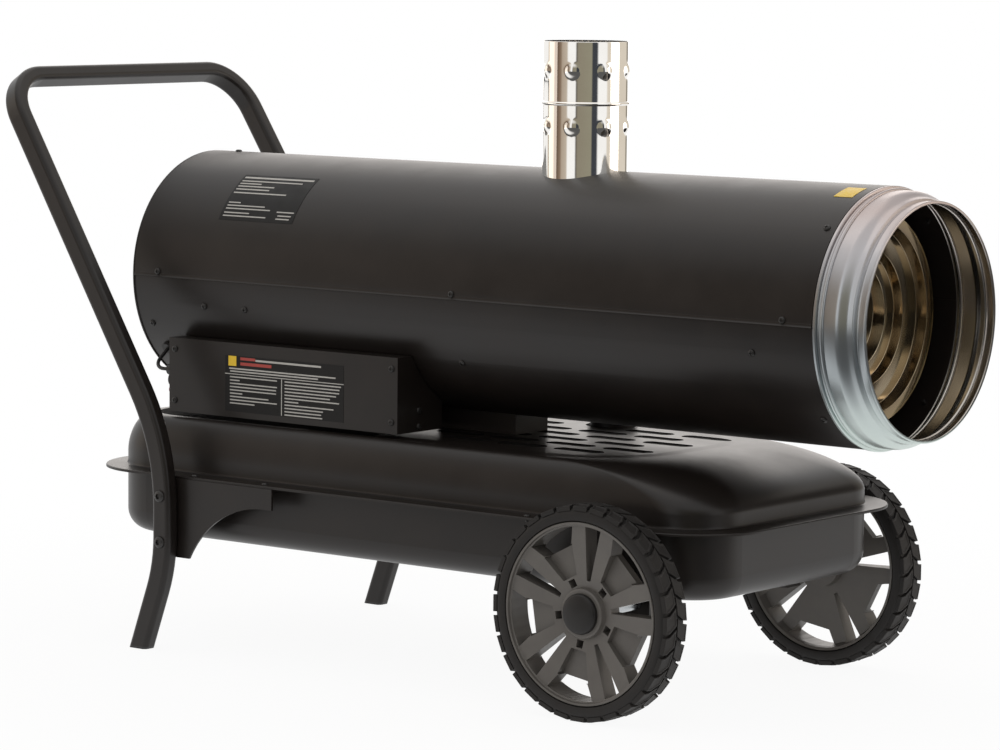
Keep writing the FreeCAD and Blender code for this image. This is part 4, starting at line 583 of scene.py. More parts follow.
def carve(piece: Piece, cutter: Piece) -> None:
    """Cut one object out of another and delete the cutter.

    Args:
        piece: The object that is cut.
        cutter: The shape that is taken away.
    """
    apply_modifier(piece, "BOOLEAN", object=cutter, operation="DIFFERENCE", solver="EXACT")
    bpy.data.objects.remove(cutter)


def copy_of(piece: Piece, place: Matrix) -> Piece:
    """Copy a piece with its own mesh, moved to a place.

    Args:
        piece: The object that repeats.
        place: Where the copy goes.

    Returns:
        The copy.
    """
    twin = piece.copy()
    twin.data = piece.data.copy()
    twin.data.transform(place)
    if place.is_negative:
        twin.data.flip_normals()
    bpy.context.collection.objects.link(twin)
    return twin


def join(name: str, pieces: Sequence[Piece]) -> Piece:
    """Join objects into one.

    Args:
        name: The joined object's name.
        pieces: The objects, the first of which takes in the rest.

    Returns:
        The joined object.
    """
    make_active(pieces[0])
    for piece in pieces:
        piece.select_set(True)
    if len(pieces) > 1:
        bpy.ops.object.join()
    pieces[0].name = name
    return pieces[0]


def ring_of(name: str, piece: Piece, angles: Sequence[float]) -> Piece:
    """Copy a piece round the Z axis, join the copies and delete the first one.

    Args:
        name: The ring's name.
        piece: The object that repeats.
        angles: Turn of each copy, in degrees.

    Returns:
        The ring.
    """
    copies = [copy_of(piece, Matrix.Rotation(math.radians(a), 4, "Z")) for a in angles]
    bpy.data.objects.remove(piece)
    return join(name, copies)


def dress(
    piece: Piece, finishes: Sequence[Finish], body: str, nodes: Sequence[str] = ()
) -> None:
    """Give a piece its finishes, its body and the nodes it stands for.

    Args:
        piece: The finished object.
        finishes: Its finishes, in the order of its material numbers.
        body: The body that it rides on.
        nodes: The CAD nodes that it replaces.
    """
    make_active(piece)
    bpy.ops.object.shade_smooth_by_angle(angle=SMOOTH_ANGLE)
    apply_modifier(piece, "WEIGHTED_NORMAL", keep_sharp=True)
    for number, finish in enumerate(finishes):
        if number == len(piece.data.materials):
            piece.data.materials.append(None)
        piece.data.materials[number] = finish.material()
    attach(piece, body)
    if nodes:
        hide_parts(*nodes)
    LOG.info("%s: %d faces, rides on %s", piece.name, len(piece.data.polygons), body)


def rounded_ring(
    rear: float, front: float, half: float, rear_corner: float, front_corner: float, height: float
) -> list[Vector]:
    """Return one level of a pressing as a rounded rectangle.

    Args:
        rear: X of its rear edge.
        front: X of its front edge.
        half: Half of its width.
        rear_corner: Radius of its rear corners.
        front_corner: Radius of its front corners.
        height: Its height.

    Returns:
        The points in order, in metres.
    """
    points = []
    corners = (
        (front - front_corner, half - front_corner, front_corner, 0.0),
        (rear + rear_corner, half - rear_corner, rear_corner, 90.0),
        (rear + rear_corner, rear_corner - half, rear_corner, 180.0),
        (front - front_corner, front_corner - half, front_corner, 270.0),
    )
    for x, y, reach, start in corners:
        for n in range(CORNER_STEPS):
            angle = math.radians(start + 90.0 * n / (CORNER_STEPS - 1))
            points.append(Vector((x + reach * math.cos(angle), y + reach * math.sin(angle), height)) * MM)
    return points


def rounded_place(point: Vector) -> tuple[float, ...]:
    """Return a point to a thousandth of a millimetre, so that it can be looked up."""
    return tuple(round(c / MM, 3) for c in point)


def raise_levels(name: str, rings: Sequence[Sequence[Vector]]) -> Piece:
    """Raise a wall from ring to ring and stay in edit mode with the last ring selected.

    Args:
        name: The new object's name.
        rings: The levels from the foot up, each with the same number of points.

    Returns:
        The new object.
    """
    bpy.ops.object.select_all(action="DESELECT")
    bpy.ops.mesh.primitive_circle_add(vertices=len(rings[0]), radius=1.0)
    shell = bpy.context.object
    shell.name = name
    bpy.ops.object.mode_set(mode="EDIT")
    mesh = bmesh.from_edit_mesh(shell.data)
    for vertex, point in zip(mesh.verts, rings[0]):
        vertex.co = point
    bpy.ops.mesh.select_all(action="SELECT")
    for here, there in zip(rings, rings[1:]):
        bpy.ops.mesh.extrude_edges_move()
        place = {rounded_place(a): b for a, b in zip(here, there)}
        mesh = bmesh.from_edit_mesh(shell.data)
        for vertex in mesh.verts:
            if vertex.select:
                vertex.co = place[rounded_place(vertex.co)]
        bmesh.update_edit_mesh(shell.data)
    return shell


def loose_parts(node: str) -> list[list[Vector]]:
    """Return the points of each separate solid in a CAD node.

    Args:
        node: The node's name.

    Returns:
        One list of points for each solid, in metres.
    """
    mesh = bmesh.new()
    mesh.from_mesh(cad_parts[node].data)
    bmesh.ops.remove_doubles(mesh, verts=mesh.verts, dist=MERGE_GAP)
    left = set(mesh.verts)
    parts = []
    while left:
        found = [left.pop()]
        for vertex in found:
            fresh = [edge.other_vert(vertex) for edge in vertex.link_edges]
            fresh = [other for other in fresh if other in left]
            left.difference_update(fresh)
            found.extend(fresh)
        parts.append([vertex.co.copy() for vertex in found])
    mesh.free()
    return parts


def paint_faces(
    piece: Piece, number: int, wanted: Callable[[bpy.types.MeshPolygon], bool]
) -> None:
    """Give a second finish to the faces that a test picks.

    Args:
        piece: The object.
        number: The material number they get.
        wanted: The test, on one face.
    """
    for face in piece.data.polygons:
        if wanted(face):
            face.material_index = number


@dataclass
class OutletCollar:
    """The galvanised collar at the warm-air outlet: back ring, bead, stepped neck and rolled spigot."""

    ring_radius: float = 152.4
    body_radius: float = 148.0
    spigot_radius: float = 137.0
    # Stretches of the outer line: distance out from the radius each follows, and past the barrel's end.
    back_ring: tuple[Pair, ...] = ((-1.0, 0.3), (0.0, 1.2), (0.0, 3.6), (-0.6, 4.4))
    shoulder: tuple[Pair, ...] = ((0.8, 5.2), (0.2, 6.6))
    neck: tuple[Pair, ...] = ((0.0, 13.6), (-0.1, 27.0), (-0.8, 30.0), (-2.2, 33.0), (-4.4, 36.0))
    step_down: tuple[Pair, ...] = ((4.8, 38.4), (3.7, 41.0), (3.3, 44.6), (2.6, 45.8))
    spigot_start: tuple[Pair, ...] = ((0.4, 51.2), (0.0, 52.4))
    bead_middle: Pair = (-0.2, 10.0)
    bead_reach: float = 2.5
    groove_floor: float = -1.6
    groove_depth: float = 3.2
    groove_start: float = 46.4
    groove_pitch: float = 0.7
    groove_steps: int = 6
    roll_run: float = 4.0
    roll_inset: float = 0.5
    roll_reach: float = 1.6
    roll_angles: Pair = (160.0, -10.0)
    arc_steps: int = 8
    sheet: float = 1.2
    steps: int = 160

    def build(self) -> None:
        """Turn the collar's sheet and dress its outside and inside."""
        low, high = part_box("outlet_collar")
        barrel_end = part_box("barrel_upper_shell")[1].x
        centre = Vector((barrel_end, 0.0, (low.z + high.z) / 2))
        length = (high.x - barrel_end) / MM
        section = sheet_section(self.outside(length), self.sheet)
        collar = lathe("outlet_collar_sheet", section, Axis.X, centre, self.steps)
        # Inward faces get the inside copy of the zinc, whose warm grey is painted reflection.
        paint_faces(
            collar, 1,
            lambda face: (face.center - centre).dot(face.normal) < 0 and abs(face.normal.x) < SQUARE_ON,
        )
        dress(collar, (GALVANISED, INSIDE_REFLECTION_ZINC), "chassis", ("outlet_collar",))

    def outside(self, length: float) -> Profile:
        """Return the collar's outer line.

        Args:
            length: How far the collar stands out of the barrel.

        Returns:
            The line as radius and distance past the barrel's end.
        """
        body, spigot = self.body_radius, self.spigot_radius
        bead_out, bead_along = self.bead_middle
        groove = []
        for n in range(1, self.groove_steps):
            rise = self.groove_depth * (1 - math.sin(math.pi * n / self.groove_steps))
            groove.append((self.groove_floor + rise, self.groove_start + n * self.groove_pitch))
        return [
            *shifted(self.ring_radius, self.back_ring),
            *shifted(body, self.shoulder),
            *arc(body + bead_out, bead_along, self.bead_reach, 180.0, 0.0, self.arc_steps),
            *shifted(body, self.neck),
            *shifted(spigot, self.step_down),
            *shifted(spigot, groove),
            *shifted(spigot, self.spigot_start),
            (spigot, length - self.roll_run),
            *arc(spigot - self.roll_inset, length - self.roll_reach, self.roll_reach, *self.roll_angles,
                 self.arc_steps),
        ]


@dataclass
class ExchangerFace:
    """The stepped front plate of the heat exchanger, pressed with rounded folds."""

    rim_radius: float = 122.6
    steps_in: tuple[Pair, ...] = ((108.0, 14.0), (78.0, 26.0), (58.0, 41.0))
    # How far each step's slope starts outside its radius and ends inside it.
    slope: Pair = (2.0, 1.0)
    rim_depth: float = 6.0
    face_drop: float = 0.2
    fold: float = 1.6
    fold_faces: int = 4
    fold_angle: float = 25.0
    sheet: float = 1.5
    steps: int = 128

    def build(self) -> None:
        """Turn the plate with its steps and round the folds."""
        low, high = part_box("exchanger_front_plate")
        centre = Vector((high.x, 0.0, (low.z + high.z) / 2))
        line = [(self.rim_radius, -self.rim_depth), (self.rim_radius, -self.face_drop)]
        depth = 0.0
        for radius, floor in self.steps_in:
            line += [(radius + self.slope[0], -depth - self.face_drop), (radius - self.slope[1], -floor)]
            depth = floor
        inner_rim = self.rim_radius - self.sheet
        back = [(inner_rim, -self.rim_depth), (inner_rim, -self.sheet - self.face_drop)]
        back += [(radius + self.sheet, along - self.sheet) for radius, along in line[2:]]
        section = [*line, (0.0, -depth), (0.0, -depth - self.sheet), *reversed(back), line[0]]
        plate = lathe("exchanger_front_face", section, Axis.X, centre, self.steps)
        soften(plate, self.fold, self.fold_faces, self.fold_angle)
        dress(plate, (TINTED_STEEL,), "chassis", ("exchanger_front_plate",))


@dataclass
class FlueStub:
    """The polished flue stub: a thin tube with a bead and two rows of pressed bumps."""

    sheet: float = 1.0
    bead_height: float = 74.0
    bead_reach: float = 2.4
    row_pitch: float = 2.2
    bump_rows: Pair = (34.5, 101.5)
    bump_count: int = 8
    bump_phase: float = 19.3
    bump_reach: float = 9.5
    bump_height: float = 3.0
    # The tube's foot stays this far short of the solid's, inside the barrel.
    foot_inside: float = 25.0
    lip: tuple[Pair, ...] = ((0.0, -1.0), (-0.3, -0.3), (-0.5, 0.0))
    arc_steps: int = 8
    steps: int = 176

    def build(self) -> None:
        """Turn the tube, press the bumps out and dress it."""
        low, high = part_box("flue_stub")
        centre = Vector(((low.x + high.x) / 2, (low.y + high.y) / 2, high.z))
        radius = (high.x - low.x) / 2 / MM
        length = (high.z - low.z) / MM - self.foot_inside
        bead_foot = -self.bead_height - self.bead_reach
        bead_top = self.bead_reach - self.bead_height
        outside = [
            (radius, -length),
            *self.wall(radius, -length, bead_foot),
            *arc(radius, -self.bead_height, self.bead_reach, 180.0, 0.0, self.arc_steps),
            *self.wall(radius, bead_top, 0.0),
            *shifted(radius, self.lip),
        ]
        tube = lathe("flue_tube", sheet_section(outside, self.sheet), Axis.Z, centre, self.steps)
        self.press_bumps(tube, centre, radius)
        dress(tube, (POLISHED_STEEL,), "chassis", ("flue_stub",))

    def wall(self, radius: float, start: float, end: float) -> Profile:
        """Return rows of points up a straight stretch, close enough to press the bumps from.

        Args:
            radius: The tube's outside radius.
            start: Height of the stretch's foot.
            end: Height of its top.

        Returns:
            The points between the two ends.
        """
        rows = int((end - start) / self.row_pitch)
        return [(radius, start + self.row_pitch * n) for n in range(1, rows)]

    def press_bumps(self, tube: Piece, centre: Vector, radius: float) -> None:
        """Push rounded bumps out of the tube, two rows round it.

        Args:
            tube: The turned tube.
            centre: The middle of its mouth.
            radius: Its outside radius, in millimetres.
        """
        make_active(tube)
        bpy.ops.object.mode_set(mode="EDIT")
        mesh = bmesh.from_edit_mesh(tube.data)
        for drop in self.bump_rows:
            for number in range(self.bump_count):
                angle = math.radians(self.bump_phase + 360.0 * number / self.bump_count)
                outward = Vector((math.cos(angle), math.sin(angle), 0.0))
                middle = centre + outward * radius * MM - Vector((0.0, 0.0, drop * MM))
                for vertex in mesh.verts:
                    away = (vertex.co - middle).length / (self.bump_reach * MM)
                    if away < 1.0:
                        vertex.co += outward * self.bump_height * MM * (1.0 - away ** 2)
        bmesh.update_edit_mesh(tube.data)
        bpy.ops.object.mode_set(mode="OBJECT")


@dataclass
class Wheel:
    """One transport wheel: moulded rim with five pairs of bars, lugged tyre and domed hub cap."""

    side: Side
    rim_radius: float = 105.4
    lip_radius: float = 102.0
    hub_radius: float = 27.0
    bore_radius: float = 9.0
    hub_back: float = 3.0
    hub_face: float = 34.6
    hub_round: float = 1.0
    bar_back: float = 12.0
    web_face: float = 22.0
    # Stretches of the rim's section, as distance out from the radius that each follows and height.
    lip_back: tuple[Pair, ...] = ((-4.0, 12.0), (0.0, 2.4))
    tyre_seat: tuple[Pair, ...] = ((0.0, 1.6), (0.0, 38.6), (-0.8, 39.2))
    lip_face: tuple[Pair, ...] = ((0.6, 39.0), (0.0, 35.6), (-2.0, 34.6))
    # The bars' face, dished between the lip and the hub, as distance out from the hub and height.
    dish: tuple[Pair, ...] = ((33.0, 31.0), (3.0, 28.0), (1.6, 33.6))
    # Heights between which the cutters reach through the wheel.
    cut_foot: float = -5.0
    cut_top: float = 50.0
    edge_round: float = 0.8
    window_reach: Pair = (78.0, 100.6)
    window_halves: Pair = (21.5, 33.0)
    slit_reach: Pair = (38.0, 100.6)
    slit_halves: Pair = (2.6, 11.0)
    recess_reach: Pair = (43.5, 80.5)
    recess_halves: Pair = (10.5, 22.3)
    pocket_middle: float = 36.5
    pocket_half: float = 4.6
    pocket_floor: float = 14.0
    pairs: int = 5
    turn: float = 81.0
    tyre_width: float = 40.0
    bead_gap: float = 0.7
    tread_radius: float = 124.9
    carcass_radius: float = 121.4
    # The tyre's outer half, as distance out from its bead and from its carcass, and height.
    bead_line: tuple[Pair, ...] = (
        (0.0, 20.0), (0.0, 37.0), (1.0, 38.8), (3.6, 39.8), (9.0, 39.9), (11.4, 39.2),
    )
    crown_line: tuple[Pair, ...] = ((-1.2, 37.4), (-0.6, 35.0), (0.0, 28.0), (0.2, 20.0))
    lugs: int = 32
    # One lug's outline, as distance round the tyre and across it.
    lug_outline: tuple[Pair, ...] = (
        (-10.0, 39.6), (9.6, 39.6), (10.4, 33.0), (18.0, 21.0), (-1.6, 21.0), (-9.2, 33.0),
    )
    lug_root: float = 1.6
    lug_border: float = 2.0
    # The lug's sunk face: width of the slope round it, and its depth.
    lug_dip: Pair = (0.7, 0.9)
    lug_round: float = 0.5
    lug_round_faces: int = 2
    lug_round_angle: float = 40.0
    lug_skirt: float = 1.0
    shoulder_start: float = 34.0
    shoulder_fall: float = 0.16
    cap_section: tuple[Pair, ...] = (
        (0.0, 33.0), (23.4, 33.0), (23.6, 37.2), (23.2, 38.8), (22.0, 40.2), (20.0, 41.0),
        (15.0, 41.8), (8.0, 42.3), (0.0, 42.5),
    )
    cap_steps: int = 64
    arc_steps: int = 6
    steps: int = 160

    def build(self) -> None:
        """Build the rim, the tyre and the hub cap and ride them on the wheel."""
        low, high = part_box(f"tyre_{self.side.word}")
        inner = high.y if self.side is Side.NEAR else low.y
        outward = Vector((0.0, float(self.side.value), 0.0))
        across = Vector((1.0, 0.0, 0.0))
        upward = Vector((0.0, 0.0, 1.0))
        place = Matrix((across, upward, outward)).transposed().to_4x4()
        place.translation = Vector(((low.x + high.x) / 2, inner, (low.z + high.z) / 2))
        body = f"wheel_{self.side.word}"
        for made, finish, slot, node in (
            (self.rim(), CHARCOAL_PLASTIC, "charcoal_wheel", f"wheel_rim_{self.side.word}"),
            (self.tyre(), TYRE_RUBBER, "tyre_rubber", f"tyre_{self.side.word}"),
            (self.hub_cap(), CAP_PLASTIC, "charcoal_wheel", f"hub_cap_{self.side.word}"),
        ):
            piece = copy_of(made, place)
            bpy.data.objects.remove(made)
            piece.name = f"{node}_moulded"
            dress(piece, (finish,), body, (node,))

    def sectors(self, name: str, reach: Pair, halves: Pair, low: float, angles: Sequence[float]) -> Piece:
        """Make a ring of cutters that widen outwards and end on an arc.

        Args:
            name: The ring's name.
            reach: Inner and outer radius of a cutter.
            halves: Its half width at each.
            low: Height of its foot.
            angles: Where the cutters stand, in degrees.

        Returns:
            The ring of cutters.
        """
        spread = math.asin(halves[1] / reach[1])
        ends = [spread * (2 * n / self.arc_steps - 1) for n in range(self.arc_steps + 1)]
        outline = [(reach[0], halves[0]), (reach[0], -halves[0])]
        outline += [(reach[1] * math.cos(a), reach[1] * math.sin(a)) for a in ends]
        return ring_of(name, prism("sector", outline, low, self.cut_top), angles)

    def rim(self) -> Piece:
        """Turn the wheel body, then cut the recesses, windows, slits and pockets.

        Returns:
            The rim, with its outer face towards +Z.
        """
        section = [
            (self.bore_radius, self.hub_back),
            (self.hub_radius - self.hub_round, self.hub_back),
            (self.hub_radius, self.bar_back),
            *shifted(self.lip_radius, self.lip_back),
            *shifted(self.rim_radius, self.tyre_seat),
            *shifted(self.lip_radius, self.lip_face),
            *shifted(self.hub_radius, self.dish),
            (self.hub_radius, self.hub_face),
            (self.bore_radius, self.hub_face),
            (self.bore_radius, self.hub_back),
        ]
        wheel = lathe("wheel_body", section, Axis.Z, Vector(), self.steps)
        share = 360.0 / self.pairs
        slits = [self.turn + share * n for n in range(self.pairs)]
        bays = [angle + share / 2 for angle in slits]
        for cut in (
            ("recesses", self.recess_reach, self.recess_halves, self.web_face, bays),
            ("windows", self.window_reach, self.window_halves, self.cut_foot, bays),
            ("slits", self.slit_reach, self.slit_halves, self.cut_foot, slits),
        ):
            carve(wheel, self.sectors(*cut))
        near, far = self.pocket_middle - self.pocket_half, self.pocket_middle + self.pocket_half
        corners = [(near, -self.pocket_half), (far, -self.pocket_half),
                   (far, self.pocket_half), (near, self.pocket_half)]
        pocket = prism("pocket", corners, self.pocket_floor, self.cut_top)
        carve(wheel, ring_of("pockets", pocket, bays))
        soften(wheel, self.edge_round)
        return wheel

    def tyre(self) -> Piece:
        """Turn the carcass and set the lugs round it.

        Returns:
            The tyre, with its outer face towards +Z.
        """
        half = [
            *shifted(self.rim_radius + self.bead_gap, self.bead_line),
            *shifted(self.carcass_radius, self.crown_line),
        ]
        other = [(radius, self.tyre_width - along) for radius, along in reversed(half[1:-1])]
        carcass = lathe("carcass", [*half, *other, half[0]], Axis.Z, Vector(), self.steps)
        pitch = 360.0 / self.lugs
        lug = self.lug()
        outer = ring_of("outer_lugs", copy_of(lug, Matrix()), [pitch * n for n in range(self.lugs)])
        move = Matrix.Translation((0.0, 0.0, self.tyre_width * MM))
        flip = move @ Matrix.Diagonal((1.0, 1.0, -1.0, 1.0))
        inner = ring_of("inner_lugs", copy_of(lug, flip), [pitch * (n + 0.5) for n in range(self.lugs)])
        bpy.data.objects.remove(lug)
        return join("tyre", [carcass, outer, inner])

    def lug(self) -> Piece:
        """Shape one slanted tread block and wrap it on the carcass.

        Returns:
            The lug on the outer half of the tread, at the X axis.
        """
        sunk = self.carcass_radius - self.lug_root
        lug = prism("lug", self.lug_outline, 0.0, self.tread_radius - sunk)
        make_active(lug)
        bpy.ops.object.mode_set(mode="EDIT")
        bpy.ops.mesh.select_mode(type="FACE")
        bpy.ops.mesh.select_all(action="DESELECT")
        mesh = bmesh.from_edit_mesh(lug.data)
        for face in mesh.faces:
            face.select_set(face.normal.z > SQUARE_ON)
        bpy.ops.mesh.inset(thickness=self.lug_border * MM)
        bpy.ops.mesh.inset(thickness=self.lug_dip[0] * MM, depth=-self.lug_dip[1] * MM)
        bpy.ops.mesh.select_mode(type="VERT")
        bpy.ops.object.mode_set(mode="OBJECT")
        soften(lug, self.lug_round, self.lug_round_faces, self.lug_round_angle)
        for vertex in lug.data.vertices:
            round_it, along, rise = vertex.co / MM
            angle = round_it / self.carcass_radius
            slump = max(along - self.shoulder_start, 0.0) * self.shoulder_fall
            reach = sunk + rise - slump if rise > self.lug_skirt else sunk - self.lug_skirt
            vertex.co = Vector((reach * math.cos(angle), reach * math.sin(angle), along)) * MM
        return lug

    def hub_cap(self) -> Piece:
        """Return the domed cap, turned with its dome towards +Z."""
        return lathe("cap", list(self.cap_section), Axis.Z, Vector(), self.cap_steps)


@dataclass
class TankTop:
    """The tank's pressed top: flange with a rolled lip, upright band, soft slope and flat deck."""

    corner: float = 72.0
    flange_width: float = 28.0
    # The flange's rolled lip, as distance in from its edge and height over the seam.
    lip_line: tuple[Pair, ...] = ((0.4, -1.0), (0.0, 0.6), (0.6, 1.6), (2.0, 2.0))
    # The bend from the flange up into the wall, as distance out from the wall and height over the seam.
    bend_line: tuple[Pair, ...] = ((4.0, 2.2), (1.2, 3.2), (0.0, 6.0))
    deck_rear_corner: float = 70.0
    deck_front_corner: float = 120.0
    band_top: float = 237.0
    deck_half: float = 164.0
    deck_front: float = 323.5
    deck_rear: float = -453.0
    wall_half: float = 188.0
    wall_front: float = 463.0
    wall_rear: float = -475.0
    deck_edge: float = 8.0
    sheet: float = 1.5
    # Handles of the slope's curve, as shares: the upper one's draw inwards and the lower one's rise.
    slope_draw: float = 0.42
    slope_rise: float = 0.46
    slope_steps: int = 16

    def levels(self) -> list[list[Vector]]:
        """Lay out the shell's levels from the lip up to the deck.

        Returns:
            The levels, each a ring of points in metres.
        """
        low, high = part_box("tank_top_shell")
        seam = low.z / MM
        rear, front, half = low.x / MM, high.x / MM, high.y / MM
        rings = []
        for inset, rise in self.lip_line:
            corner = self.corner + self.flange_width - inset
            rings.append(rounded_ring(
                rear + inset, front - inset, half - inset, corner, corner, seam + rise,
            ))
        for out, rise in self.bend_line:
            corner = self.corner + out
            rings.append(rounded_ring(
                self.wall_rear - out, self.wall_front + out, self.wall_half + out, corner, corner,
                seam + rise,
            ))
        deck = high.z / MM
        for n in range(self.slope_steps + 1):
            t = n / self.slope_steps
            drawn = 3 * (1 - t) * t ** 2 * self.slope_draw + t ** 3
            risen = 3 * (1 - t) ** 2 * t * self.slope_rise + 3 * (1 - t) * t ** 2 + t ** 3
            rings.append(rounded_ring(
                self.wall_rear + (self.deck_rear - self.wall_rear) * drawn,
                self.wall_front + (self.deck_front - self.wall_front) * drawn,
                self.wall_half + (self.deck_half - self.wall_half) * drawn,
                self.corner + (self.deck_rear_corner - self.corner) * drawn,
                self.corner + (self.deck_front_corner - self.corner) * drawn,
                self.band_top + (deck - self.band_top) * risen,
            ))
        return rings

    def build(self) -> None:
        """Raise the shell level by level, close the deck and give it its thickness."""
        shell = raise_levels("tank_top_pressing", self.levels())
        bpy.ops.mesh.edge_face_add()
        bpy.ops.mesh.inset(thickness=self.deck_edge * MM)
        close_up(shell)
        # The deck, the largest face, gets the dark coat: painted shade seen through the shield's slots.
        largest = max(shell.data.polygons, key=lambda face: face.area)
        largest.material_index = 1
        shell.data.materials.append(POWDER_COAT.material())
        shell.data.materials.append(SLOT_SHADE_COAT.material())
        apply_modifier(shell, "SOLIDIFY", thickness=self.sheet * MM, offset=-1.0)
        dress(shell, (POWDER_COAT, SLOT_SHADE_COAT), "chassis", ("tank_top_shell",))


@dataclass
class HeatShield:
    """The slotted sheet on the tank's deck: its edge droops to the deck all round."""

    rear_corner: float = 20.0
    front_corner: float = 114.5
    slot_middle: float = 130.0
    slot_length: float = 70.0
    slot_width: float = 21.0
    slot_pitch: Pair = (85.0, 40.0)
    columns: int = 4
    rows: int = 6
    # The drooping edge, as distance in from the outline and height over the deck.
    edge_line: tuple[Pair, ...] = (
        (0.0, -0.05), (3.0, 0.1), (6.0, 0.3), (10.0, 0.6), (14.0, 0.9), (18.0, 1.2),
    )
    notch_gap: float = 2.0
    notch_steps: int = 32
    end_steps: int = 10
    cut_margin: float = 5.0
    # Faces whose normal leans less than this share upwards are the slots' walls, which get the dark coat as
    # painted shade.
    wall_lean: float = 0.5

    def build(self) -> None:
        """Press the sheet, cut the slots and the notch for the filler, and dress it."""
        low, high = (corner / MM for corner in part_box("heat_shield"))
        sheet = raise_levels("heat_shield_sheet", [
            rounded_ring(low.x + inset, high.x - inset, high.y - inset, self.rear_corner - inset,
                         self.front_corner - inset, low.z + rise)
            for inset, rise in self.edge_line
        ])
        bpy.ops.mesh.edge_face_add()
        bpy.ops.mesh.select_all(action="DESELECT")
        bpy.ops.mesh.select_non_manifold()
        bpy.ops.mesh.edge_face_add()
        close_up(sheet)
        cap_low, cap_high = (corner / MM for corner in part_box("fuel_cap"))
        cap = (cap_low + cap_high) / 2
        reach = (cap_high.x - cap_low.x) / 2
        foot, top = low.z - self.cut_margin, high.z + self.cut_margin
        clear = reach + self.notch_gap
        turn = [math.tau * n / self.notch_steps for n in range(self.notch_steps)]
        notch = [(cap.x + clear * math.cos(a), cap.y + clear * math.sin(a)) for a in turn]
        cutters = [prism("notch", notch, foot, top)]
        for row in range(self.rows):
            columns = self.columns - (row + 1) % 2
            y = self.slot_pitch[1] * (row - (self.rows - 1) / 2)
            for column in range(columns):
                x = self.slot_middle + self.slot_pitch[0] * (column - (columns - 1) / 2)
                beside = abs(x - cap.x) < self.slot_length / 2 + reach
                if not (beside and abs(y - cap.y) < self.slot_width / 2 + reach):
                    cutters.append(prism("slot", self.slot(x, y), foot, top))
        carve(sheet, join("cutters", cutters))
        # The slots' walls get the dark coat: painted shade.
        paint_faces(sheet, 1, lambda face: abs(face.normal.z) < self.wall_lean)
        dress(sheet, (POWDER_COAT, SLOT_SHADE_COAT), "chassis", ("heat_shield",))

    def slot(self, x: float, y: float) -> Profile:
        """Return the outline of one round-ended slot.

        Args:
            x: Its middle along X.
            y: Its middle along Y.

        Returns:
            The outline's corners, in millimetres.
        """
        reach = self.slot_width / 2
        half = self.slot_length / 2 - reach
        outline = []
        for side, start in ((1, -90.0), (-1, 90.0)):
            turns = [180.0 * n / self.end_steps for n in range(self.end_steps + 1)]
            angles = [math.radians(start + turn) for turn in turns]
            outline += [(x + side * half + reach * math.cos(a), y + reach * math.sin(a)) for a in angles]
        return outline


@dataclass
class BarrelHem:
    """The flared hem of the upper shell, where it laps over the lower one on both sides."""

    # Points of the hem's section, as distance out from the barrel's surface and height over its edge.
    section: tuple[Pair, ...] = (
        (-0.9, 5.0), (0.1, 4.0), (0.3, 2.4), (0.9, 1.0), (1.8, 0.1), (1.9, -0.4), (1.2, -0.7),
        (0.2, 0.2), (-0.6, 1.6),
    )

    def build(self) -> None:
        """Draw the hem on each side along the whole shell."""
        low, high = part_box("barrel_upper_shell")
        hems = []
        for side in Side:
            points = []
            for out, rise in self.section:
                height = low.z + rise * MM
                reach = math.sqrt((high.y + out * MM) ** 2 - (rise * MM) ** 2)
                points.append(Vector((low.x, side.value * reach, height)))
            hems.append(extrude_outline("hem", points, Vector((high.x - low.x, 0.0, 0.0))))
        dress(join("barrel_hem", hems), (POWDER_COAT,), "chassis")


class Recess(Enum):
    """The drive in a screw's head."""

    CROSS = "cross"
    HEXAGON = "hexagon"


@dataclass
class Screws:
    """Fasteners of one node: a domed head with its drive, set on every solid of the node."""

    node: str
    outward: Callable[[Vector], Vector]
    radius: float = 4.2
    height: float = 2.4
    shank: float = 2.2
    length: float = 7.0
    recess: Recess = Recess.CROSS
    # The taper at the shank's end: how far in and how far up.
    tip: Pair = (0.4, 0.6)
    # The head's outline, as shares of its radius and height.
    head_line: tuple[Pair, ...] = (
        (1.0, 0.0), (1.0, 0.22), (0.95, 0.5), (0.8, 0.78), (0.55, 0.94), (0.0, 1.0),
    )
    # The drive's floor as a share of the head's height, and its reaches as shares of the head's radius.
    drive_floor: float = 0.4
    cross_arm: Pair = (0.56, 0.13)
    hexagon_reach: float = 0.48
    steps: int = 24

    def build(self) -> None:
        """Shape one fastener, copy it to every place and dress the set."""
        screw = self.shape()
        copies = []
        for points in loose_parts(self.node):
            middle = sum(points, Vector()) / len(points)
            outward = self.outward(middle)
            top = max(point.dot(outward) for point in points)
            place = outward.to_track_quat("Z", "Y").to_matrix().to_4x4()
            place.translation = middle + outward * (top - self.height * MM - middle.dot(outward))
            copies.append(copy_of(screw, place))
        bpy.data.objects.remove(screw)
        dress(join(f"{self.node}_set", copies), (BLACK_OXIDE,), "chassis", (self.node,))

    def shape(self) -> Piece:
        """Turn one fastener and cut its drive.

        Returns:
            The fastener, with its head's seat at the origin and its top towards +Z.
        """
        radius, height = self.radius, self.height
        section = [
            (0.0, -self.length),
            (self.shank - self.tip[0], -self.length),
            (self.shank, self.tip[1] - self.length),
            (self.shank, 0.0),
            *[(out * radius, rise * height) for out, rise in self.head_line],
        ]
        screw = lathe("screw", section, Axis.Z, Vector(), self.steps)
        if self.recess is Recess.CROSS:
            arm, half = (share * radius for share in self.cross_arm)
            bars = [[(-a, -b), (a, -b), (a, b), (-a, b)] for a, b in ((arm, half), (half, arm))]
        else:
            reach = self.hexagon_reach * radius
            turn = [math.radians(60.0 * n) for n in range(6)]
            bars = [[(reach * math.cos(a), reach * math.sin(a)) for a in turn]]
        for bar in bars:
            carve(screw, prism("drive", bar, self.drive_floor * height, 2 * height))
        return screw


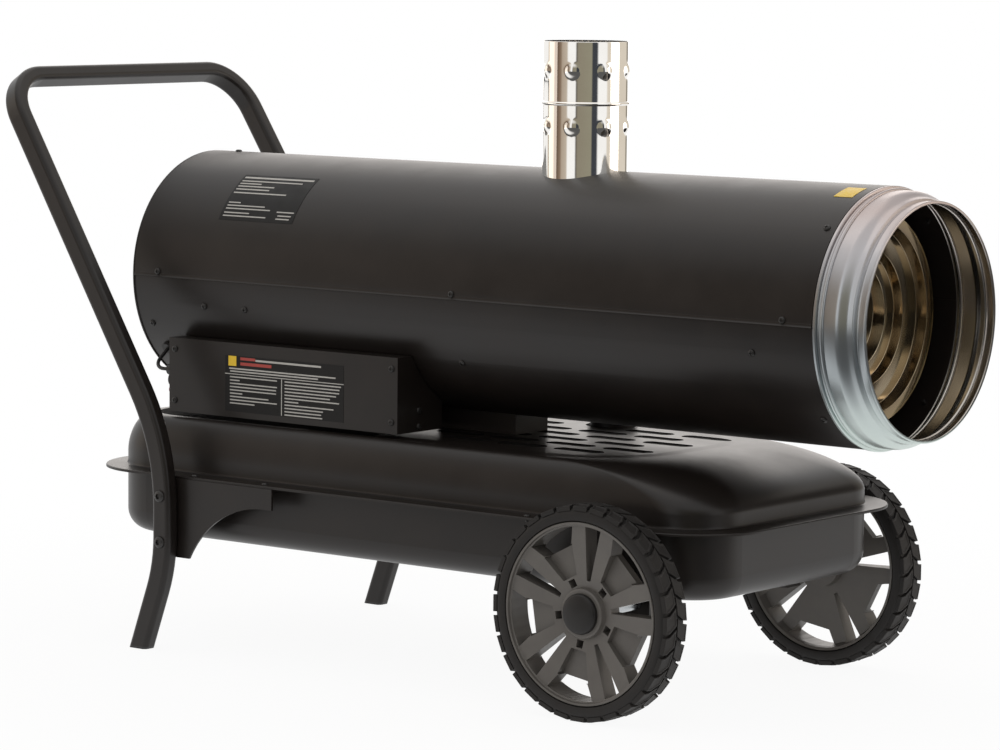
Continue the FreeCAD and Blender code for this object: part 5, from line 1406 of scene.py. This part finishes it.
@dataclass
class Labels:
    """Plain label places: a data plate on the barrel, a ruled panel on the box and a yellow patch."""

    film: float = 0.25
    barrel_gap: float = 0.05
    cover_gap: float = 0.02
    film_steps: int = 14
    plate_x: Pair = (-331.0, -209.0)
    plate_angles: Pair = (29.6, 57.9)
    patch_x: Pair = (541.0, 566.0)
    patch_angles: Pair = (67.6, 79.5)
    panel_x: Pair = (-294.0, -100.0)
    panel_z: Pair = (299.5, 369.5)
    # Bars of the data plate: drop from its top and both ends as shares of it, half thickness in degrees.
    plate_bars: tuple[Bar, ...] = (
        (0.08, 0.03, 0.97, 0.55), (0.17, 0.03, 0.85, 0.36), (0.235, 0.03, 0.32, 0.36),
        (0.30, 0.03, 0.52, 0.36), (0.37, 0.03, 0.48, 0.36), (0.45, 0.03, 0.74, 0.36),
        (0.66, 0.04, 0.20, 0.3), (0.72, 0.04, 0.55, 0.3), (0.78, 0.04, 0.64, 0.3),
        (0.86, 0.04, 0.38, 0.3), (0.92, 0.04, 0.62, 0.3), (0.80, 0.74, 0.97, 0.3),
        (0.87, 0.77, 0.95, 0.3), (0.93, 0.76, 0.94, 0.3),
    )
    # Bars of the box panel: left, right and drop from its top left corner, and height, in millimetres.
    head_bars: tuple[Bar, ...] = (
        (50.4, 157.6, 3.0, 2.4), (6.8, 181.0, 15.4, 1.7), (8.4, 153.0, 18.8, 1.7),
        (0.0, 194.0, 22.6, 1.0), (93.0, 94.2, 24.0, 45.0),
    )
    red_bars: tuple[Bar, ...] = ((25.5, 50.0, 1.6, 3.4), (25.5, 76.8, 7.8, 3.8))
    yellow_mark: Bar = (5.6, 18.6, 0.6, 12.4)
    left_ends: tuple[float, ...] = (86.0, 24.0, 86.0, 84.5, 84.5, 28.6, 72.0, 86.0, 49.0)
    right_ends: tuple[float, ...] = (
        190.0, 187.5, 187.0, 182.0, 172.0, 187.0, 121.0, 178.0, 161.0, 158.0, 160.0,
    )
    column_starts: Pair = (8.1, 98.6)
    column_drop: float = 26.0
    row_pitch: float = 4.1
    row_height: float = 1.5

    def build(self) -> None:
        """Lay the plates and their pale bars."""
        self.on_barrel("data_plate", LABEL_FILM, self.plate_x, self.plate_angles)
        left, right = self.plate_x
        low, high = self.plate_angles
        bars = []
        for number, (drop, start, end, thick) in enumerate(self.plate_bars):
            middle = high - (high - low) * drop
            span = (left + (right - left) * start, left + (right - left) * end)
            angles = (middle - thick, middle + thick)
            bars.append(self.curved(f"plate_bar_{number}", span, angles, self.film))
        dress(join("data_plate_bars", bars), (PALE_INK,), "chassis")
        self.on_barrel("yellow_patch", YELLOW_FILM, self.patch_x, self.patch_angles)
        self.on_box()

    def curved(self, name: str, span: Pair, angles: Pair, rise: float) -> Piece:
        """Spin a thin film that lies on the barrel.

        Args:
            name: The film's name.
            span: Its ends along X.
            angles: Its edges, in degrees above the horizontal on the near side.
            rise: How far its back stands off the barrel.

        Returns:
            The film.
        """
        low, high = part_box("barrel_upper_shell")
        radius = (high.y - low.y) / 2 / MM + self.barrel_gap + rise
        axis = Vector((0.0, 0.0, high.z - (high.y - low.y) / 2))
        top = radius + self.film
        left, right = span
        profile = [(radius, left), (top, left), (top, right), (radius, right), (radius, left)]
        start = math.radians(90.0 - angles[0])
        piece = draw_chain(name, [
            axis + Vector((along, -reach * math.sin(start), reach * math.cos(start))) * MM
            for reach, along in profile
        ])
        bpy.ops.mesh.select_all(action="SELECT")
        bpy.ops.mesh.edge_face_add()
        sweep = math.radians(angles[1] - angles[0])
        bpy.ops.mesh.spin(steps=self.film_steps, angle=sweep, center=axis, axis=Axis.X.value)
        return close_up(piece)

    def on_barrel(self, name: str, finish: Finish, span: Pair, angles: Pair) -> None:
        """Lay one film on the barrel and dress it."""
        dress(self.curved(name, span, angles, 0.0), (finish,), "chassis")

    def flat(self, name: str, span: Pair, heights: Pair, rise: float) -> Piece:
        """Make a thin plate that stands on the box cover.

        Args:
            name: The plate's name.
            span: Its ends along X.
            heights: Its lower and upper edge.
            rise: How far its back stands off the cover.

        Returns:
            The plate.
        """
        left, right = span
        low, high = heights
        plate = prism(name, [(left, low), (right, low), (right, high), (left, high)], 0.0, self.film)
        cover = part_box("control_box_cover")[0].y
        stand = Matrix.Rotation(math.radians(90.0), 4, "X")
        stand.translation = Vector((0.0, cover - rise * MM, 0.0))
        plate.data.transform(stand)
        return plate

    def on_box(self) -> None:
        """Lay the ruled panel on the box cover: a film, a head, a divider and two columns of bars."""
        film = self.flat("box_panel_film", self.panel_x, self.panel_z, self.cover_gap)
        dress(film, (LABEL_FILM,), "chassis")
        rows = list(self.head_bars)
        for start, ends in zip(self.column_starts, (self.left_ends, self.right_ends)):
            for n, end in enumerate(ends):
                rows.append((start, end, self.column_drop + self.row_pitch * n, self.row_height))
        self.bars("box_panel_bars", PALE_INK, rows)
        self.bars("box_panel_red_bars", RED_INK, self.red_bars)
        self.bars("box_panel_mark", YELLOW_FILM, [self.yellow_mark])

    def bars(self, name: str, ink: Finish, rows: Sequence[Bar]) -> None:
        """Print a set of plain bars on the box panel.

        Args:
            name: The set's name.
            ink: Its finish.
            rows: Left, right, drop and height of each bar, from the panel's top left corner.
        """
        left, top = self.panel_x[0], self.panel_z[1]
        rise = self.cover_gap + self.film
        plates = [
            self.flat("bar", (left + start, left + end), (top - drop - tall, top - drop), rise)
            for start, end, drop, tall in rows
        ]
        dress(join(name, plates), (ink,), "chassis")


class CadDress:
    """The CAD nodes that stay in view, each given the finish of its slot."""

    def build(self) -> None:
        """Assign a finish to every material slot of every CAD node."""
        for name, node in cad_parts.items():
            for slot in node.material_slots:
                key = slot.material.name.split(".")[0]
                slot.material = FINISH_OF_SLOT[key].material()
            LOG.info("%s: dressed as %s", name, node.material_slots[0].material.name)


@dataclass
class Studio:
    """The stage: white floor, soft lamps, dark cards for the metal, and the photograph's camera."""

    floor_radius: float = 6.0
    lens: float = 146.48
    sensor: float = 36.0
    azimuth: float = 38.28
    elevation: float = 6.09
    roll: float = 0.54
    eye: tuple[float, float, float] = (3.10008, -3.90805, 0.88545)
    far_clip: float = 100.0
    ambient: float = 0.75
    # Each lamp's name, place and size in metres and power in watts; then the point that all of them face.
    lamp_set: tuple[tuple[str, tuple[float, float, float], float, float], ...] = (
        ("overhead", (-0.3, 0.2, 2.8), 2.4, 8.0),
        ("left", (-3.2, -2.0, 1.0), 2.2, 10.0),
        ("right", (2.6, 1.6, 1.0), 1.6, 14.0),
        ("behind", (-2.0, 2.5, 1.3), 3.0, 26.0),
    )
    lamp_aim: tuple[float, float, float] = (0.05, 0.0, 0.35)
    lamp_tone: str = "#fff4ea"
    floor_sides: int = 96
    floor_tone: str = "#f4f4f4"
    floor_roughness: float = 0.9
    floor_glow: float = 0.93
    # Distances from the middle between which the floor fades into the white surroundings.
    floor_fade: Pair = (0.5, 1.6)
    # The dark studio floor in front of the white one: distances towards the camera, and its share of white.
    front_floor: Pair = (0.45, 1.0)
    front_tone: float = 0.1
    # A dark flag beside the outlet: its middle, its width and height, in metres.
    flag_middle: tuple[float, float, float] = (0.82, 0.28, 0.40)
    flag_size: Pair = (0.8, 0.28)
    flag_tone: str = "#262423"
    # Upward share of a heading between which the cards give way to the white ceiling.
    ceiling_fade: Pair = (0.35, 0.8)
    # Cards round the stage, as degrees to the right of the camera and the tone that metal sees there.
    cards: tuple[tuple[float, str], ...] = (
        (-121.0, "#ffffff"), (-117.0, "#e4d9ca"), (-95.0, "#dccfbd"), (-91.0, "#5c4c40"),
        (-81.0, "#6b5a4c"), (-70.0, "#8d7a68"), (-66.0, "#b3a494"), (-52.0, "#c3b7a8"),
        (-48.0, "#ffffff"), (-28.0, "#ffffff"), (-25.0, "#55504a"), (-21.0, "#8f8878"),
        (15.0, "#94907e"), (18.0, "#3f4248"), (30.0, "#3f4248"), (34.0, "#ffffff"),
        (57.0, "#ffffff"), (61.0, "#e0d7c9"), (137.0, "#ddd4c6"), (141.0, "#8d867a"),
        (149.0, "#8d867a"), (153.0, "#ffffff"),
    )

    def build(self) -> None:
        """Lay the floor, light the stage and set the camera."""
        self.world()
        self.floor()
        self.flag()
        self.lamps()
        self.camera()
        bpy.context.scene.view_settings.view_transform = "Standard"

    def axes(self) -> tuple[Vector, Vector, Vector]:
        """Work out the camera's directions from its angles.

        Returns:
            The camera's right, up and back.
        """
        az, el, roll = (math.radians(a) for a in (self.azimuth, self.elevation, self.roll))
        back = Vector((math.sin(az) * math.cos(el), -math.cos(az) * math.cos(el), math.sin(el)))
        level = Vector((math.cos(az), math.sin(az), 0.0))
        rise = back.cross(level)
        right = level * math.cos(roll) + rise * math.sin(roll)
        return right, back.cross(right), back

    def camera(self) -> None:
        """Stand the camera where the photograph was taken."""
        camera = bpy.data.objects.new("camera", bpy.data.cameras.new("camera"))
        bpy.context.collection.objects.link(camera)
        camera.data.sensor_width = self.sensor
        camera.data.lens = self.lens
        camera.data.clip_end = self.far_clip
        place = Matrix(self.axes()).transposed().to_4x4()
        place.translation = Vector(self.eye)
        camera.matrix_world = place
        bpy.context.scene.camera = camera

    def world(self) -> None:
        """Make the surroundings white to the eye and in reflections, and softer as a light."""
        world = bpy.data.worlds.new("studio")
        bpy.context.scene.world = world
        world.use_nodes = True
        tree = world.node_tree
        background = tree.nodes["Background"]
        path = add_node(tree, "ShaderNodeLightPath")
        seen = add_node(tree, "ShaderNodeMath", {
            0: path.outputs["Is Camera Ray"], 1: path.outputs["Is Glossy Ray"],
        }, operation="MAXIMUM")
        clear = add_node(tree, "ShaderNodeMath", {
            0: seen.outputs["Value"], 1: path.outputs["Is Transmission Ray"],
        }, operation="MAXIMUM")
        strength = add_node(tree, "ShaderNodeMapRange", {
            "Value": clear.outputs["Value"], "To Min": self.ambient, "To Max": 1.0,
        })
        tree.links.new(strength.outputs["Result"], background.inputs["Strength"])
        heading = add_node(tree, "ShaderNodeSeparateXYZ", {
            "Vector": add_node(tree, "ShaderNodeTexCoord").outputs["Generated"],
        })
        angle = add_node(tree, "ShaderNodeMath", {
            0: heading.outputs["Y"], 1: heading.outputs["X"],
        }, operation="ARCTAN2")
        turn = add_node(tree, "ShaderNodeMapRange", {
            "Value": angle.outputs["Value"], "From Min": -math.pi, "From Max": math.pi,
        })
        stops = sorted(((self.azimuth + 90.0 + away) % 360.0 / 360.0, tone) for away, tone in self.cards)
        ring = add_node(tree, "ShaderNodeValToRGB", {"Fac": turn.outputs["Result"]}, stops=stops)
        lift = add_node(tree, "ShaderNodeMapRange", {
            "Value": heading.outputs["Z"], "From Min": self.ceiling_fade[0],
            "From Max": self.ceiling_fade[1],
        }, interpolation_type="SMOOTHSTEP")
        white = (1.0, 1.0, 1.0, 1.0)
        room = add_node(tree, "ShaderNodeMix", {
            0: lift.outputs["Result"], 6: ring.outputs["Color"], 7: white,
        }, data_type="RGBA")
        shown = add_node(tree, "ShaderNodeMix", {
            0: path.outputs["Is Glossy Ray"], 6: white, 7: room.outputs[2],
        }, data_type="RGBA")
        tree.links.new(shown.outputs[2], background.inputs["Color"])

    def floor(self) -> None:
        """Lay a round white floor that fades into the white surroundings."""
        bpy.ops.object.select_all(action="DESELECT")
        bpy.ops.mesh.primitive_circle_add(
            vertices=self.floor_sides, radius=self.floor_radius, fill_type="NGON"
        )
        floor = bpy.context.object
        floor.name = "floor"
        material, tree, shader = new_material("white_studio_floor")
        shader.inputs["Base Color"].default_value = linear(self.floor_tone)
        shader.inputs["Roughness"].default_value = self.floor_roughness
        shader.inputs["Specular IOR Level"].default_value = 0.0
        coords = add_node(tree, "ShaderNodeTexCoord").outputs["Object"]
        away = add_node(tree, "ShaderNodeVectorMath", {0: coords}, operation="LENGTH")
        fade = add_node(tree, "ShaderNodeMapRange", {
            "Value": away.outputs["Value"], "From Min": self.floor_fade[0], "From Max": self.floor_fade[1],
            "To Min": self.floor_glow,
        }, interpolation_type="SMOOTHSTEP")
        path = add_node(tree, "ShaderNodeLightPath")
        heading = math.radians(self.azimuth)
        towards = add_node(tree, "ShaderNodeVectorMath", {
            0: coords, 1: (math.sin(heading), -math.cos(heading), 0.0),
        }, operation="DOT_PRODUCT")
        front = add_node(tree, "ShaderNodeMapRange", {
            "Value": towards.outputs["Value"], "From Min": self.front_floor[0],
            "From Max": self.front_floor[1], "To Min": 1.0, "To Max": self.front_tone,
        }, interpolation_type="SMOOTHSTEP")
        glow = add_node(tree, "ShaderNodeMix", {
            0: path.outputs["Is Glossy Ray"], 2: 1.0, 3: front.outputs["Result"],
        }, data_type="FLOAT")
        white = add_node(tree, "ShaderNodeEmission", {"Strength": glow.outputs[0]})
        mixed = add_node(tree, "ShaderNodeMixShader", {
            0: fade.outputs["Result"], 1: shader.outputs["BSDF"], 2: white.outputs["Emission"],
        })
        seen = add_node(tree, "ShaderNodeMath", {
            0: path.outputs["Is Camera Ray"], 1: path.outputs["Is Glossy Ray"],
        }, operation="MAXIMUM")
        shown = add_node(tree, "ShaderNodeMixShader", {
            0: seen.outputs["Value"], 1: shader.outputs["BSDF"], 2: mixed.outputs["Shader"],
        })
        tree.links.new(shown.outputs["Shader"], tree.nodes["Material Output"].inputs["Surface"])
        floor.data.materials.append(material)

    def flag(self) -> None:
        """Stand a dark flag beside the outlet, which only polished metal sees."""
        bpy.ops.object.select_all(action="DESELECT")
        bpy.ops.mesh.primitive_grid_add(x_subdivisions=2, y_subdivisions=2, size=1.0)
        flag = bpy.context.object
        flag.name = "flag"
        width, height = self.flag_size
        turn = Matrix.Rotation(math.radians(self.azimuth - 90.0), 4, "Z")
        stand = turn @ Matrix.Rotation(math.pi / 2, 4, "X")
        place = Matrix.Translation(self.flag_middle) @ stand @ Matrix.Diagonal((width, height, 1.0, 1.0))
        flag.data.transform(place)
        material, _, shader = new_material("black_flag_cloth")
        shader.inputs["Base Color"].default_value = linear(self.flag_tone)
        shader.inputs["Roughness"].default_value = 1.0
        flag.data.materials.append(material)
        flag.visible_camera = False
        flag.visible_diffuse = False
        flag.visible_shadow = False
        flag.visible_transmission = False

    def lamps(self) -> None:
        """Hang a broad soft lamp overhead, one to each side and one behind for the rims."""
        for name, place, size, power in self.lamp_set:
            lamp = bpy.data.objects.new(name, bpy.data.lights.new(name, "AREA"))
            bpy.context.collection.objects.link(lamp)
            lamp.data.energy = power
            lamp.data.size = size
            lamp.data.color = linear(self.lamp_tone)[:3]
            lamp.visible_camera = False
            lamp.location = place
            aim = Vector(self.lamp_aim) - lamp.location
            lamp.rotation_euler = aim.to_track_quat("-Z", "Y").to_euler()


def main() -> None:
    """Dress the nodes, build each sub-assembly in order, and set the stage."""
    logging.basicConfig(level=logging.INFO, format="%(message)s")
    CadDress().build()
    OutletCollar().build()
    ExchangerFace().build()
    FlueStub().build()
    for side in Side:
        Wheel(side).build()
    TankTop().build()
    HeatShield().build()
    BarrelHem().build()
    level = Vector((0.0, 0.0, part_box("barrel_upper_shell")[0].z))
    across = Vector((0.0, 1.0, 1.0))
    upward = Vector((0.0, 0.0, 1.0))
    forward = Vector((1.0, 0.0, 0.0))
    nearer = Vector((0.0, -1.0, 0.0))
    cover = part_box("control_box_cover")[1].y
    Screws("barrel_screws", lambda middle: ((middle - level) * across).normalized()).build()
    Screws("flange_screws", lambda middle: upward).build()
    Screws("box_screws", lambda middle: nearer if middle.y < cover else forward).build()
    Screws(
        "handle_bolts", lambda middle: nearer * -math.copysign(1.0, middle.y),
        radius=7.5, height=4.0, shank=4.0, length=29.9, recess=Recess.HEXAGON,
    ).build()
    Labels().build()
    Studio().build()


if __name__ == "__main__":
    main()
